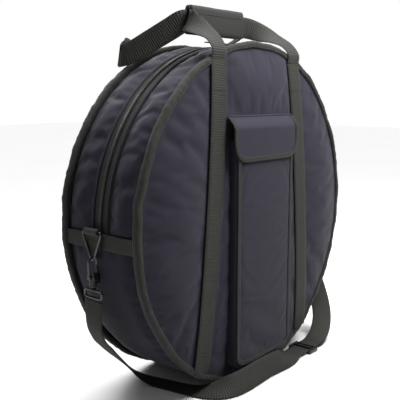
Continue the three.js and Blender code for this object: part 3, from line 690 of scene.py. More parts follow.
def stitches(name, lines, normal_at, pitch=5 * MM, length=3.2 * MM, radius=0.42 * MM, material=None):
    """Rows of sewing stitches. Each is a short bar of thread that dips in at both ends."""
    verts = []
    faces = []
    uvs = []
    sides = 5
    for line in lines:
        points = dense(line, pitch / 4)
        walked = 0.0
        due = pitch / 2
        for before, after in zip(points, points[1:]):
            step = (after - before).length
            while walked + step >= due:
                at = before.lerp(after, (due - walked) / step if step else 0)
                along = (after - before).normalized()
                out = normal_at(at)
                side = along.cross(out).normalized()
                base = len(verts)
                for share, sink, fat in ((-0.5, -0.7, 0.5), (-0.3, 0.25, 1), (0.3, 0.25, 1),
                                         (0.5, -0.7, 0.5)):
                    for k in range(sides):
                        turn = 2 * math.pi * k / sides
                        verts.append(at + along * (length * share) + out * (radius * sink)
                                     + side * (radius * fat * math.cos(turn))
                                     + out * (radius * fat * math.sin(turn)))
                for ring in range(3):
                    for k in range(sides):
                        l = (k + 1) % sides
                        a = base + ring * sides
                        faces.append([a + k, a + l, a + sides + l, a + sides + k])
                faces.append([base + k for k in reversed(range(sides))])
                faces.append([base + 3 * sides + k for k in range(sides)])
                due += pitch
            walked += step
    uvs = [[(0, 0)] * len(face) for face in faces]
    return new_piece(name, verts, faces, uvs, material or THREAD)


# ---------------------------------------------------------------- cloth
def billow(piece, held, pressure, slack, cap, frames=20):
    """Fills a sewn piece with air for a moment, so that it swells and creases between its
    seams. held gives, for each vertex, how firmly it is sewn down."""
    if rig.quick():
        return
    group = piece.vertex_groups.new(name="sewn")
    for index, weight in enumerate(held):
        group.add([index], weight, "REPLACE")
    rest = [v.co.copy() for v in piece.data.vertices]
    cloth = piece.modifiers.new("cloth", "CLOTH")
    settings = cloth.settings
    settings.quality = 6
    settings.mass = 0.2
    settings.tension_stiffness = 12
    settings.compression_stiffness = 12
    settings.shear_stiffness = 6
    settings.bending_stiffness = 0.4
    settings.air_damping = 3
    settings.vertex_group_mass = "sewn"
    settings.shrink_min = -slack
    settings.use_pressure = True
    settings.uniform_pressure_force = pressure
    settings.effector_weights.gravity = 0
    cloth.point_cache.frame_start = 1
    cloth.point_cache.frame_end = frames
    scene = bpy.context.scene
    for number in range(1, frames + 1):
        scene.frame_set(number)
    view = bpy.context.evaluated_depsgraph_get()
    moved = [v.co.copy() for v in piece.evaluated_get(view).data.vertices]
    piece.modifiers.remove(cloth)
    scene.frame_set(1)
    for vertex, before, after in zip(piece.data.vertices, rest, moved):
        shift = after - before
        if shift.length > cap:
            shift *= cap / shift.length
        vertex.co = before + shift
        vertex.co.z = settle(vertex.co.z)


def settle(z):
    """Cloth that would pass through the floor lies on it."""
    soft = 5 * MM
    return z if z > FLOOR + soft else FLOOR + soft * math.exp((z - FLOOR - soft) / soft)


def crumple(at, scale, seed):
    """Smooth random height between about -1 and 1, the same each run."""
    return noise.noise(Vector(at) * scale + Vector((seed, seed * 1.7, seed * 0.3)))


# ---------------------------------------------------------------- round body
def on_disc(radius, turn, y):
    """A point by its radius and angle about the disc's centre."""
    return Vector((radius * math.cos(turn), y, settle(CZ + radius * math.sin(turn))))


def panel_out(x, z):
    """Distance of a padded disc's outer face from the bag's middle plane."""
    reach = min(1.0, math.hypot(x, z - CZ) / PANEL_RADIUS)
    return EDGE_FACE + BULGE * (1 - reach ** 3.2)


def strip_x(z):
    """Middle of the right sewn strip at a height."""
    rise = (z - STRIP_BOTTOM[1]) / (STRIP_TOP[1] - STRIP_BOTTOM[1])
    return STRIP_BOTTOM[0] + (STRIP_TOP[0] - STRIP_BOTTOM[0]) * rise


def sewn_under_strip(x, z):
    """1 under a strip's stitches, 0 well away from them."""
    gap = abs(abs(x) - strip_x(z)) - WEBBING_HALF
    return min(1.0, max(0.0, 1 - gap / (6 * MM)))


def disc_sheet(name, face, out, reach, material, cells=112):
    """A round sheet on a grid of squares bent to a disc. face is -1 for the front."""
    def flat(i, j):
        u, v = 2 * j / cells - 1, 2 * i / cells - 1
        return (reach * u * math.sqrt(1 - v * v / 2), CZ + reach * v * math.sqrt(1 - u * u / 2))

    def point(i, j):
        x, z = flat(i, j)
        return Vector((x, face * out(x, z), settle(z)))

    return grid(name, cells + 1, cells + 1, point, flat, material)


def padded_disc(side, face):
    """The outer cloth of a padded disc, swollen between its rim, strips and pocket."""
    def out(x, z):
        ripple = 0.9 * MM * crumple((x, 0, z), 9, 3 + face) + 0.4 * MM * crumple((x, 0, z), 30, 7)
        return panel_out(x, z) + ripple * (1 - sewn_under_strip(x, z)) - 1.2 * MM

    piece = disc_sheet(f"{side}_panel_cloth", face, out, PANEL_RADIUS, NYLON)
    held = []
    for vertex in piece.data.vertices:
        x, _, z = vertex.co
        rim = (math.hypot(x, z - CZ) - PANEL_RADIUS + 9 * MM) / (6 * MM)
        in_pocket = face < 0 and abs(x) < POCKET_HALF and POCKET_LOW < z < FLAP_TOP
        held.append(max(min(1.0, max(0.0, rim)), sewn_under_strip(x, z), 1.0 if in_pocket else 0.0))
    billow(piece, held, -face * 2.2, 0.011, 8 * MM)
    thicken(piece, 1.4 * MM, face)
    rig.padded(piece, 0.5)
    return piece


def panels():
    cover = ("front_panel_upper_", "front_panel_lower_")
    attach(padded_disc("front", -1), "fold", "nylon_cloth", *(c + "shell" for c in cover))
    attach(padded_disc("back", 1), "bag", "nylon_cloth", "back_panel_shell")
    inset = 4.6 * MM
    for side, face, body, nodes in (("front", -1, "fold", cover), ("back", 1, "bag", ("back_panel_",))):
        pad = disc_sheet(f"{side}_foam_pad", face, lambda x, z: panel_out(x, z) - inset,
                         RIM - 25 * MM, FOAM, 40)
        thicken(pad, 5 * MM, face)
        attach(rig.padded(pad, 0.7) or pad, body, "foam", *(n + "foam" for n in nodes))
        sheet = disc_sheet(f"{side}_inner_lining", face,
                           lambda x, z: SEAM_Y - 0.6 * MM + 0.5 * MM * crumple((x, 0, z), 16, 5),
                           GUSSET - 10 * MM, LINING, 60)
        thicken(sheet, 1 * MM)
        attach(sheet, body, "lining_cloth", *(n + "lining" for n in nodes))


# ---------------------------------------------------------------- bound rims
def rim_radius(turn, face):
    """The bound edge is not quite a circle: the full bag pushes it out here and there."""
    c, s = math.cos(turn), math.sin(turn)
    slow = 2.2 * MM * noise.noise(Vector((1.6 * c, 1.6 * s, 5 + face)))
    quick = 1.6 * MM * noise.noise(Vector((9 * c, 9 * s, 2 + face)))
    return RIM - 0.6 * MM + slow + quick


def rim_sway(turn, face):
    """How far the bound edge leans in or out, along Y, where the cloth pulls on it."""
    c, s = math.cos(turn), math.sin(turn)
    return 2.4 * MM * noise.noise(Vector((8 * c, 8 * s, 9 + face)))


def bound_rim(side, face):
    """Folded tape over the seam, rounded on its edge, with a stitched inner edge."""
    low, high = SEAM_Y - 1 * MM, EDGE_FACE + 1.6 * MM
    inner = 11 * MM
    across = [(-inner, high - 0.6 * MM), (-inner + 1.2 * MM, high + 0.5 * MM), (-6 * MM, high + 0.9 * MM),
              (-3 * MM, high + 0.5 * MM), (-0.9 * MM, high - 0.8 * MM), (0, high - 3 * MM),
              (0, low + 3 * MM), (-0.9 * MM, low + 0.8 * MM), (-3 * MM, low - 0.5 * MM),
              (-inner, low)]
    if face > 0:
        across = across[::-1]
    count = 720
    lengths = [0.0]
    for (a, b), (c, d) in zip(across + across[:1], across[1:] + across[:2]):
        lengths.append(lengths[-1] + math.hypot(c - a, d - b))

    def point(i, k):
        turn = 2 * math.pi * i / count
        reach, y = across[k % len(across)]
        pucker = 0.8 * MM * noise.noise(Vector((42 * math.cos(turn), 42 * math.sin(turn), k * 0.5)))
        sway = rim_sway(turn, face)
        return on_disc(rim_radius(turn, face) + reach + pucker, turn, face * (y + pucker + sway))

    piece = grid(f"{side}_rim_tape", count + 1, len(across), point,
                 lambda i, k: (lengths[k], RIM * 2 * math.pi * i / count), BINDING, closed=True)
    weld = piece.modifiers.new("weld", "WELD")
    weld.merge_threshold = 0.02 * MM
    return piece


def rim_stitches(side, face):
    row = [on_disc(rim_radius(t, face) - 8.6 * MM, t, face * (EDGE_FACE + 2.4 * MM + rim_sway(t, face)))
           for t in (2 * math.pi * k / 360 for k in range(361))]
    return stitches(f"{side}_rim_stitches", [row], lambda p: Vector((0, face, 0)))


def rims():
    attach(bound_rim("front", -1), "fold", "binding_tape", "front_binding_upper", "front_binding_lower")
    attach(bound_rim("back", 1), "bag", "binding_tape", "back_binding")
    attach(rim_stitches("front", -1), "fold", "binding_tape")
    attach(rim_stitches("back", 1), "bag", "binding_tape")


# ---------------------------------------------------------------- side wall
def wall_sheet(name, low, high, first, last, inward, puff, material):
    """Part of the round side wall, from y low to high and from one angle to another."""
    rows = max(8, round(abs(last - first) * GUSSET / (6 * MM)))
    columns = max(5, round((high - low) / (5.5 * MM)))

    def point(i, j):
        turn = first + (last - first) * i / rows
        share = j / columns
        y = low + (high - low) * share
        swell = puff * (math.sin(math.pi * share) ** 0.5 - 0.6)
        x, z = math.cos(turn), math.sin(turn)
        ripple = 0.8 * MM * crumple((x, y * 4, z), 5, 11) + 0.5 * MM * crumple((x, y * 2, z), 16, 2)
        fade = math.sin(math.pi * share) * (1 if puff else 0.3)
        return on_disc(GUSSET - inward + swell + ripple * fade, turn, y)

    return grid(name, rows + 1, columns + 1, point,
                lambda i, j: (low + (high - low) * j / columns,
                              GUSSET * (first + (last - first) * i / rows)), material)


def held_edges(piece, columns, rows, firm_ends=True):
    """Weights that pin a sheet's four edges."""
    held = []
    for index in range(len(piece.data.vertices)):
        i, j = divmod(index, columns)
        edge = j in (0, columns - 1) or (firm_ends and i in (0, rows - 1))
        near = j in (1, columns - 2)
        held.append(1.0 if edge else 0.5 if near else 0.0)
    return held


def side_wall():
    zip_edge = tape_high[1] + 0.5 * MM
    parts = (
        ("side_wall_lower", -SEAM_Y, SEAM_Y, math.pi, 2 * math.pi, "bag", ("gusset_lower_shell",)),
        ("side_wall_front", -SEAM_Y, -zip_edge, 0, math.pi, "fold", ("gusset_upper_front_shell",)),
        ("side_wall_back", zip_edge, SEAM_Y, 0, math.pi, "bag", ("gusset_upper_back_shell",)),
    )
    for name, low, high, first, last, body, nodes in parts:
        piece = wall_sheet(name, low, high, first, last, 2.0 * MM, 4.5 * MM, NYLON)
        rows = max(8, round(abs(last - first) * GUSSET / (6 * MM))) + 1
        columns = max(5, round((high - low) / (5.5 * MM))) + 1
        billow(piece, held_edges(piece, columns, rows), 1.2, 0.035, 6 * MM)
        smooth(piece)
        thicken(piece, 1.6 * MM, -1.0)
        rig.padded(piece, 0.4)
        attach(piece, body, "nylon_cloth", *nodes)
        inner = wall_sheet(name.replace("wall", "lining"), low, high, first, last, 9.5 * MM, 0.0, LINING)
        thicken(inner, 0.9 * MM, -1.0)
        attach(inner, body, "lining_cloth", nodes[0].replace("shell", "lining"))


# ---------------------------------------------------------------- zipper
def zipper_tape(side, face):
    """Flat tape from the chain to under the side wall's hem, with a folded hem beside it."""
    inner, outer = 1.2 * MM, tape_high[1] + 2.5 * MM
    columns = 8
    rows = 300

    def point(i, j):
        share = j / columns
        reach = inner + (outer - inner) * share
        turn = math.pi * i / rows
        return on_disc(GUSSET - 1.2 * MM + 0.3 * MM * math.sin(math.pi * share), turn, face * reach)

    piece = grid(f"zip_tape_{side}", rows + 1, columns + 1, point,
                 lambda i, j: ((outer - inner) * j / columns, GUSSET * math.pi * i / rows), ZIP_TAPE)
    thicken(piece, 0.9 * MM, -face)
    hem_y = face * (tape_high[1] + 1.5 * MM)
    cord = [on_disc(GUSSET + 0.4 * MM, math.pi * k / 300, hem_y) for k in range(301)]
    hem = tube(f"zip_hem_{side}", cord, 1.4 * MM, NYLON, 8, False, Vector((0, 1, 0)))
    sewn = [on_disc(GUSSET + 0.9 * MM, math.pi * k / 300, face * (tape_high[1] + 5.5 * MM))
            for k in range(301)]
    seam = stitches(f"zip_stitches_{side}", [sewn],
                    lambda p: (p - MIDDLE - Vector((0, p.y, 0))).normalized())
    return piece, hem, seam


def zipper_teeth(side, face):
    """Interlocked moulded teeth. The two rows are half a pitch apart."""
    pitch = 3.0 * MM
    count = int(math.pi * GUSSET / pitch)
    shape = [(-0.9, 3.2), (0.9, 3.2), (0.9, 1.2), (1.15, -0.9), (-1.15, -0.9), (-0.9, 1.2)]
    verts = []
    faces = []
    for n in range(count):
        middle = (n + (0.5 if face > 0 else 0.25)) * pitch / GUSSET
        base = len(verts)
        for rise, shrink in ((0.0, 1.0), (1.6 * MM, 1.0), (2.2 * MM, 0.7)):
            for along, across in shape:
                turn = middle + along * shrink * MM / GUSSET
                y = face * (1.1 + (across - 1.1) * (0.5 + 0.5 * shrink)) * MM
                verts.append(on_disc(GUSSET - 0.5 * MM + rise, turn, y))
        for ring in range(2):
            for k in range(6):
                l = (k + 1) % 6
                a = base + ring * 6
                quad = [a + k, a + l, a + 6 + l, a + 6 + k]
                faces.append(quad if face > 0 else quad[::-1])
        top = [base + 12 + k for k in range(6)]
        bottom = [base + k for k in reversed(range(6))]
        faces += [top, bottom] if face > 0 else [top[::-1], bottom[::-1]]
    uvs = [[(0, 0)] * len(f) for f in faces]
    return new_piece(f"zip_teeth_{side}", verts, faces, uvs, TEETH)


def slider(side, sign):
    low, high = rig.box(f"zip_slider_{side}")
    plate_top = low[2] + 1.8 * MM
    plate = bevelled_box(f"slider_body_{side}", low, (high[0], high[1], plate_top), 0.7 * MM, METAL)
    pin_x = sign * 8 * MM
    legs = [bevelled_box(f"slider_leg_{side}", (pin_x - 1.4 * MM, y, low[2] + 1 * MM),
                         (pin_x + 1.4 * MM, y + 1.4 * MM, high[2]), 0.5 * MM, METAL)
            for y in (-3.6 * MM, 2.2 * MM)]
    pin_z = high[2] - 1.4 * MM
    pin = tube(f"slider_pin_{side}", [Vector((pin_x, -3 * MM, pin_z)), Vector((pin_x, 3 * MM, pin_z))],
               0.9 * MM, METAL, 12, False, Vector((0, 0, 1)))
    body = join(f"slider_body_{side}", [plate, *legs, pin])
    attach(body, f"slider_{side}", "dark_metal", f"zip_slider_{side}")

    low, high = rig.box(f"zip_pull_{side}")
    middle = (low[2] + high[2]) / 2
    outline = []
    for share, half in ((0.0, 1.9), (0.12, 1.6), (0.3, 1.7), (0.42, 3.6), (0.6, 4.0), (0.9, 4.0),
                        (1.0, 2.8)):
        outline.append((pin_x + sign * (32 * MM) * share, half * MM))
    ring = outline + [(x, -half) for x, half in reversed(outline)]
    if sign < 0:
        ring = ring[::-1]
    thick = 0.8 * MM
    count = len(ring)
    verts = [Vector((x, y, middle + z)) for z in (-thick, thick) for x, y in ring]
    faces = [[k, (k + 1) % count, count + (k + 1) % count, count + k] for k in range(count)]
    faces += [[k for k in reversed(range(count))], [count + k for k in range(count)]]
    faces = [f[::-1] for f in faces]
    pull = new_piece(f"pull_tab_{side}", verts, faces, [[(0, 0)] * len(f) for f in faces], METAL)
    bevel = pull.modifiers.new("bevel", "BEVEL")
    bevel.width = 0.4 * MM
    bevel.segments = 2
    attach(pull, f"pull_{side}", "dark_metal", f"zip_pull_{side}")


def zipper():
    for side, face, body in (("front", -1, "fold"), ("back", 1, "bag")):
        tape_piece, hem, seam = zipper_tape(side, face)
        attach(tape_piece, body, "zipper_tape", f"zipper_tape_{side}")
        attach(hem, body, "nylon_cloth")
        attach(seam, body, "binding_tape")
        attach(zipper_teeth(side, face), body, "zipper_teeth", f"zipper_chain_{side}")
    slider("left", -1)
    slider("right", 1)


# ---------------------------------------------------------------- sewn strips and handles
def strip_route(sign, face):
    steps = 26
    route = []
    for k in range(steps + 1):
        z = STRIP_BOTTOM[1] + (STRIP_TOP[1] - STRIP_BOTTOM[1]) * k / steps
        x = strip_x(z)
        low_corner = panel_out(x - WEBBING_HALF, z)
        out = max(panel_out(x, z), low_corner - 1 * MM) + 1.3 * MM
        route.append(((sign * x, face * out, z), (1, 0, 0)))
    return route


def strip_seams(sign, face, route):
    """Two rows down each edge, and boxes sewn near the top and the bottom."""
    def at(x, z):
        return Vector((x, face * (panel_out(sign * x, z) + 2.6 * MM), z))

    heights = [p[0][2] for p in route]
    rows = [[at(sign * (strip_x(z) + reach), z) for z in heights] for reach in (-16 * MM, 16 * MM)]
    for z0, z1 in ((488 * MM, 500 * MM), (506 * MM, 508 * MM), (60 * MM, 72 * MM)):
        for z in (z0, z1):
            rows.append([at(sign * (strip_x(z) - 15 * MM), z), at(sign * (strip_x(z) + 15 * MM), z)])
    return rows


def strips():
    for side, sign in (("left", -1), ("right", 1)):
        for name, face, body, nodes in (
                ("front", -1, "fold", (f"front_strip_{side}_upper", f"front_strip_{side}_lower")),
                ("back", 1, "bag", (f"back_strip_{side}",))):
            route = strip_route(sign, face)
            piece, _ = webbing(f"{name}_webbing_{side}", route)
            attach(piece, body, "webbing", *nodes)
            rows = strip_seams(sign, face, route)
            sewn = stitches(f"{name}_webbing_stitches_{side}", rows, lambda p, f=face: Vector((0, f, 0)),
                            5 * MM, 3.4 * MM, 0.38 * MM, DARK_THREAD)
            attach(sewn, body, "webbing")


LEFT_LEG = [
    ((0.109, 0.074, 0.588), (-1, 0, 0.1)),
    ((0.107, 0.050, 0.602), (-0.9, 0.3, 0.3)),
    ((0.102, 0.025, 0.614), (-0.6, 0.5, 0.6)),
    ((0.094, 0.007, 0.621), (-0.3, 0.3, 0.9)),
    ((0.082, 0.003, HANDLE_Z), (0, 0, 1)),
    ((0.054, 0.003, HANDLE_Z), (0, 0, 1)),
    ((0.020, 0.003, HANDLE_Z), (0, 0, 1)),
]
RIGHT_LEG = [
    ((0.107, 0.074, 0.588), (1, 0, 0.1)),
    ((0.102, 0.050, 0.601), (0.95, 0, 0.35)),
    ((0.093, 0.026, 0.612), (0.6, 0, 0.8)),
    ((0.079, 0.009, 0.620), (0.2, 0, 1)),
    ((0.064, 0.003, HANDLE_Z), (0, 0, 1)),
    ((0.044, 0.003, HANDLE_Z), (0, 0, 1)),
    ((0.020, 0.003, HANDLE_Z), (0, 0, 1)),
]
BOWED_LEG = [
    ((0.118, 0.096, 0.573), (-1, 0, 0.1)),
    ((0.133, 0.101, 0.578), (-0.85, -0.1, 0.45)),
    ((0.148, 0.099, 0.572), (-0.5, 0, 0.85)),
    ((0.158, 0.091, 0.565), (-0.2, 0.2, 1)),
    ((0.159, 0.079, 0.566), (-0.05, 0.3, 1)),
    ((0.150, 0.063, 0.573), (0, 0.3, 1)),
    ((0.134, 0.043, 0.588), (0, 0.2, 1)),
    ((0.113, 0.019, 0.607), (0, 0.1, 1)),
    ((0.095, 0.0048, 0.6205), (0, 0, 1)),
    ((0.080, 0.003, HANDLE_Z), (0, 0, 1)),
    ((0.054, 0.003, HANDLE_Z), (0, 0, 1)),
    ((0.020, 0.003, HANDLE_Z), (0, 0, 1)),
]


def handle_route(face):
    """Up from one strip, in over the rim, level along the grip, and down to the other."""
    x, z = STRIP_TOP
    foot = panel_out(x, z) + 1.3 * MM

    def placed(leg, side, lean):
        feet = [((x, foot, z), (lean, 0, 0)), ((x, foot + 1.2 * MM, z + 15 * MM), (lean, 0, 0))]
        return [((side * at[0], face * at[1], at[2]), (side * to[0], face * to[1], to[2]))
                for at, to in feet + leg]

    left = placed(BOWED_LEG if face > 0 else LEFT_LEG, -1, -1)
    return left + placed(RIGHT_LEG, 1, 1)[::-1]


def handles():
    strip_length = math.hypot(STRIP_TOP[0] - STRIP_BOTTOM[0], STRIP_TOP[1] - STRIP_BOTTOM[1])
    for name, face, root in (("front", -1, "front_cover"), ("back", 1, "bag")):
        piece, _ = webbing(f"{name}_handle_webbing", handle_route(face), run=strip_length)
        hinge = face * FACE
        across = dict(a=root, b=f"{name}_grip", start=(0, hinge, STRIP_TOP[1] + 1 * MM),
                      end=(0, hinge, STRIP_TOP[1] + 22 * MM))
        attach(piece, across, "webbing", f"{name}_handle")


def grip_wrap(side, face):
    """Half of the padded wrap: a wall beside the handle and a rolled crest above it."""
    low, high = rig.box(f"grip_wrap_{side}")
    outside_wall = 8.6 * MM
    inside_wall = 4.9 * MM
    crest = 0.5 * MM
    bottom, top = low[2], high[2]
    turn_steps = 7
    section = [(inside_wall, bottom + 1 * MM), (inside_wall, top - 8 * MM), (crest, top - 8 * MM),
               (crest, top - 0.4 * MM)]
    for k in range(turn_steps + 1):
        turn = math.pi / 2 * (1 - k / turn_steps)
        section.append((crest + 2 * MM + (outside_wall - crest - 2 * MM) * math.cos(turn),
                        top - 8 * MM + 8 * MM * math.sin(turn)))
    section += [(outside_wall + 0.5 * MM, bottom + 22 * MM), (outside_wall + 0.3 * MM, bottom + 8 * MM),
                (outside_wall, bottom + 1 * MM), (outside_wall - 1 * MM, bottom),
                (inside_wall + 1 * MM, bottom)]
    girth = [0.0]
    for (a, b), (c, d) in zip(section, section[1:] + section[:1]):
        girth.append(girth[-1] + math.hypot(c - a, d - b))
    count = 72
    left = GRIP_MIDDLE - GRIP_HALF

    def point(i, k):
        x = left + 2 * GRIP_HALF * i / count
        y, z = section[k % len(section)]
        close = min(i, count - i) / 3
        squeeze = 0.6 * MM * max(0.0, 1 - close)
        dent = 0.5 * MM * crumple((x, face, z), 30, 9)
        y_mid = (inside_wall + outside_wall) / 2
        push = (dent - squeeze) if y > y_mid else 0
        lift = 0.6 * MM * crumple((x, 0.3 * face, 0), 25, 4) * (1 if z > top - 9 * MM else 0.3)
        return Vector((x, face * (y + push), z + lift))

    piece = grid(f"grip_pad_{side}", count + 1, len(section), point,
                 lambda i, k: (girth[k], left + 2 * GRIP_HALF * i / count), WRAP, closed=True)
    work = bmesh.new()
    work.from_mesh(piece.data)
    bmesh.ops.holes_fill(work, edges=[e for e in work.edges if e.is_boundary], sides=0)
    bmesh.ops.recalc_face_normals(work, faces=work.faces)
    work.to_mesh(piece.data)
    work.free()
    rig.padded(piece, 0.3)
    attach(piece, f"{side}_grip", "grip_cloth", f"grip_wrap_{side}")
    edge = 4 * MM
    x0, x1 = left + edge, left + 2 * GRIP_HALF - edge
    y = face * (outside_wall + 0.9 * MM)
    z0, z1 = bottom + edge, top - 14 * MM
    rows = [[Vector((x0, y, z0)), Vector((x1, y, z0))], [Vector((x0, y, z1)), Vector((x1, y, z1))],
            [Vector((x0, y, z0)), Vector((x0, y, z1))], [Vector((x1, y, z0)), Vector((x1, y, z1))]]
    sewn = stitches(f"grip_stitches_{side}", rows, lambda p: Vector((0, face, 0)), 4 * MM, 2.6 * MM,
                    0.35 * MM, DARK_THREAD)
    attach(sewn, f"{side}_grip", "grip_cloth")


# ---------------------------------------------------------------- stick pocket
def pouch_half(z, half, low, corner):
    """Half width, at a height, of a rectangle whose two bottom corners are round."""
    depth = low + corner - z
    if depth <= 0:
        return half
    return half - corner + math.sqrt(max(0.0, corner ** 2 - min(depth, corner) ** 2))


def pouch_edge(half, low, top, corner, steps=12):
    """The outline's sides, round corners and bottom, from the top left to the top right."""
    points = [(-half, top), (-half, low + corner)]
    for k in range(1, steps + 1):
        turn = math.pi + math.pi / 2 * k / steps
        points.append((-half + corner + corner * math.cos(turn), low + corner + corner * math.sin(turn)))
    mirror = [(-x, z) for x, z in reversed(points)]
    return points + mirror


def pocket_out(x, z):
    """Distance of the pocket's front from the middle plane: flat, with round sides."""
    half = pouch_half(z, POCKET_HALF, POCKET_LOW, POCKET_CORNER)
    gap = min(half - abs(x), z - POCKET_LOW)
    round_side = 7 * MM
    share = min(1.0, max(0.0, gap / round_side))
    rise = math.sqrt(1 - (1 - share) ** 2)
    base = panel_out(x, z) + 0.3 * MM
    low_slack = max(0.0, 1 - (z - POCKET_LOW) / 0.12)
    across = abs(x) / POCKET_HALF
    crown = 1.2 * MM * (1 - across ** 2)
    crease = 1.3 * MM * low_slack * math.sin(60 * (x + 1.6 * z)) * (1 - across)
    return base + (POCKET_FACE - base + crown + crease) * rise


def stick_pocket():
    columns, rows = 66, 140

    def flat(i, j):
        z = POCKET_LOW + (POCKET_TOP - POCKET_LOW) * (i / rows)
        half = pouch_half(z, POCKET_HALF, POCKET_LOW, POCKET_CORNER)
        spread = math.sin(math.pi / 2 * (2 * j / columns - 1))
        mixed = 0.25 * spread + 0.75 * (2 * j / columns - 1)
        return half * mixed, z

    def point(i, j):
        x, z = flat(i, j)
        return Vector((x, -pocket_out(x, z), z))

    piece = grid("pocket_cloth", rows + 1, columns + 1, point, flat, NYLON)
    held = []
    for index in range(len(piece.data.vertices)):
        i, j = divmod(index, columns + 1)
        edge = min(j, columns - j, i)
        held.append(1.0 if edge < 3 or i > rows - 2 else 0.4 if edge < 5 else 0.0)
    billow(piece, held, 0.5, 0.002, 3 * MM)
    thicken(piece, 1.2 * MM, -1.0)
    attach(piece, "fold", "nylon_cloth", "stick_pocket_upper", "stick_pocket_lower")
    pocket_binding()


def bound_edge(name, outline, out_at, width, body, slot, inset=0.0, thick=2.4 * MM, nodes=()):
    """Binding tape folded over an edge that runs along an outline in X and Z."""
    points = dense([Vector((x, 0, z)) for x, z in outline], 2.5 * MM)
    stations = []
    for i, p in enumerate(points):
        along = (points[min(i + 1, len(points) - 1)] - points[max(i - 1, 0)]).normalized()
        inward = Vector((-along.z, 0, along.x))
        centre = p + inward * (width / 2 - inset)
        centre.y = -out_at(centre.x, centre.z)
        stations.append((centre, inward, Vector((0, -1, 0))))
    half, r = width / 2, thick / 2
    section = [(-half, 0), (-half * 0.93, -r * 0.75), (-half * 0.7, -r), (half * 0.8, -r), (half, -r * 0.6),
               (half, r * 0.6), (half * 0.8, r), (-half * 0.7, r), (-half * 0.93, r * 0.75)]
    piece = sweep(name, stations, section, BINDING)
    attach(piece, body, slot, *nodes)
    row = [c + n * (half * 0.55) + t * (r + 0.1 * MM) for c, n, t in stations]
    sewn = stitches(name + "_stitches", [row], lambda p: Vector((0, -1, 0)), 4.2 * MM, 2.8 * MM,
                    0.4 * MM, DARK_THREAD)
    attach(sewn, body, slot)


def pocket_binding():
    """Tape along the front corner of the pocket, just inside its round side."""
    outline = pouch_edge(POCKET_HALF - 5 * MM, POCKET_LOW + 5 * MM, POCKET_TOP, POCKET_CORNER - 4 * MM)
    bound_edge("pocket_binding_tape", outline, lambda x, z: pocket_out(x, z) + 1.0 * MM, 9 * MM,
               "fold", "binding_tape", 0.0, 1.8 * MM)
    mouth = [((x / 12) * (POCKET_HALF - 2 * MM), POCKET_TOP) for x in range(-12, 13)]
    route = [((x, -pocket_out(x, z) - 0.2 * MM, z - 6 * MM), (0, 0, 1)) for x, z in mouth]
    piece, _ = webbing("pocket_mouth_tape", route, width=14 * MM, material=BINDING)
    attach(piece, "fold", "binding_tape")


def flap_out(x, z):
    """The flap leaves the panel at its sewn top, steps over the mouth and hangs clear of it."""
    drop = min(1.0, max(0.0, (FLAP_TOP - z) / (24 * MM)))
    ease = math.sin(math.pi / 2 * drop) ** 1.3
    start = panel_out(x, z) + 1.4 * MM
    sag = 0.9 * MM * math.cos(math.pi * x / (2 * FLAP_HALF))
    kick = 0.8 * MM * max(0.0, (FLAP_LOW + 30 * MM - z) / (30 * MM)) ** 2
    return start + (FLAP_FACE + sag + kick - start) * ease


def pocket_flap():
    columns, rows = 60, 30

    def flat(i, j):
        z = FLAP_LOW + 1 * MM + (FLAP_TOP - FLAP_LOW - 1 * MM) * i / rows
        half = pouch_half(z, FLAP_HALF - 1 * MM, FLAP_LOW, FLAP_CORNER)
        return half * (2 * j / columns - 1), z

    def point(i, j):
        x, z = flat(i, j)
        dimple = 0.4 * MM * crumple((x, 0, z), 26, 6)
        return Vector((x, -flap_out(x, z) - dimple, z))

    piece = grid("flap_cloth", rows + 1, columns + 1, point, flat, NYLON)
    smooth(piece)
    thicken(piece, 2.0 * MM, -1.0)
    width, height = 2 * FLAP_HALF, FLAP_TOP - FLAP_LOW
    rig.sheet(piece, (width, height + 8 * MM), "hung", ["pocket_cloth"])
    attach(piece, "flap", "nylon_cloth", "pocket_flap")
    outline = pouch_edge(FLAP_HALF, FLAP_LOW, FLAP_TOP - 3 * MM, FLAP_CORNER)
    bound_edge("flap_edge_tape", outline, lambda x, z: flap_out(x, z) - 0.9 * MM, 9 * MM, "flap",
               "binding_tape", 0.0, 4.2 * MM, ("pocket_flap_binding",))
    fold = [Vector((x / 20 * (FLAP_HALF - 4 * MM), -panel_out(x / 20 * FLAP_HALF, FLAP_TOP) - 2.4 * MM,
                    FLAP_TOP - 2 * MM)) for x in range(-20, 21)]
    roll = tube("flap_top_roll", fold, 1.6 * MM, NYLON, 10, False, Vector((0, 0, 1)))
    attach(roll, "front_cover", "nylon_cloth")
    fasteners()


def fasteners():
    """The hook and loop tapes that close the flap."""
    for node, body, name in (("flap_hook_tape", "flap", "hook_pile"),
                             ("pocket_loop_tape", "front_cover", "loop_pile")):
        low, high = (Vector(p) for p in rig.box(node))
        piece = bevelled_box(name, low, high, 0.3 * MM, PILE, 2)
        attach(piece, body, "hook_and_loop", node)


# ---------------------------------------------------------------- rings and hooks
def cross_band(side, sign):
    """Webbing sewn across the side wall, under the tab that holds the ring."""
    low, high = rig.box(f"cross_band_{side}")
    middle = (low[2] + high[2]) / 2
    width = high[2] - low[2] + 4 * MM
    turn = math.asin((middle - CZ) / GUSSET)
    reach = GUSSET + 3.0 * MM
    x = sign * reach * math.cos(turn)
    count = 20
    route = [((x, (SEAM_Y - 1 * MM) * (2 * k / count - 1), middle), (0, 0, 1)) for k in range(count + 1)]
    piece, _ = webbing(f"side_webbing_{side}", route, width=width)
    attach(piece, "bag", "webbing", f"cross_band_{side}")


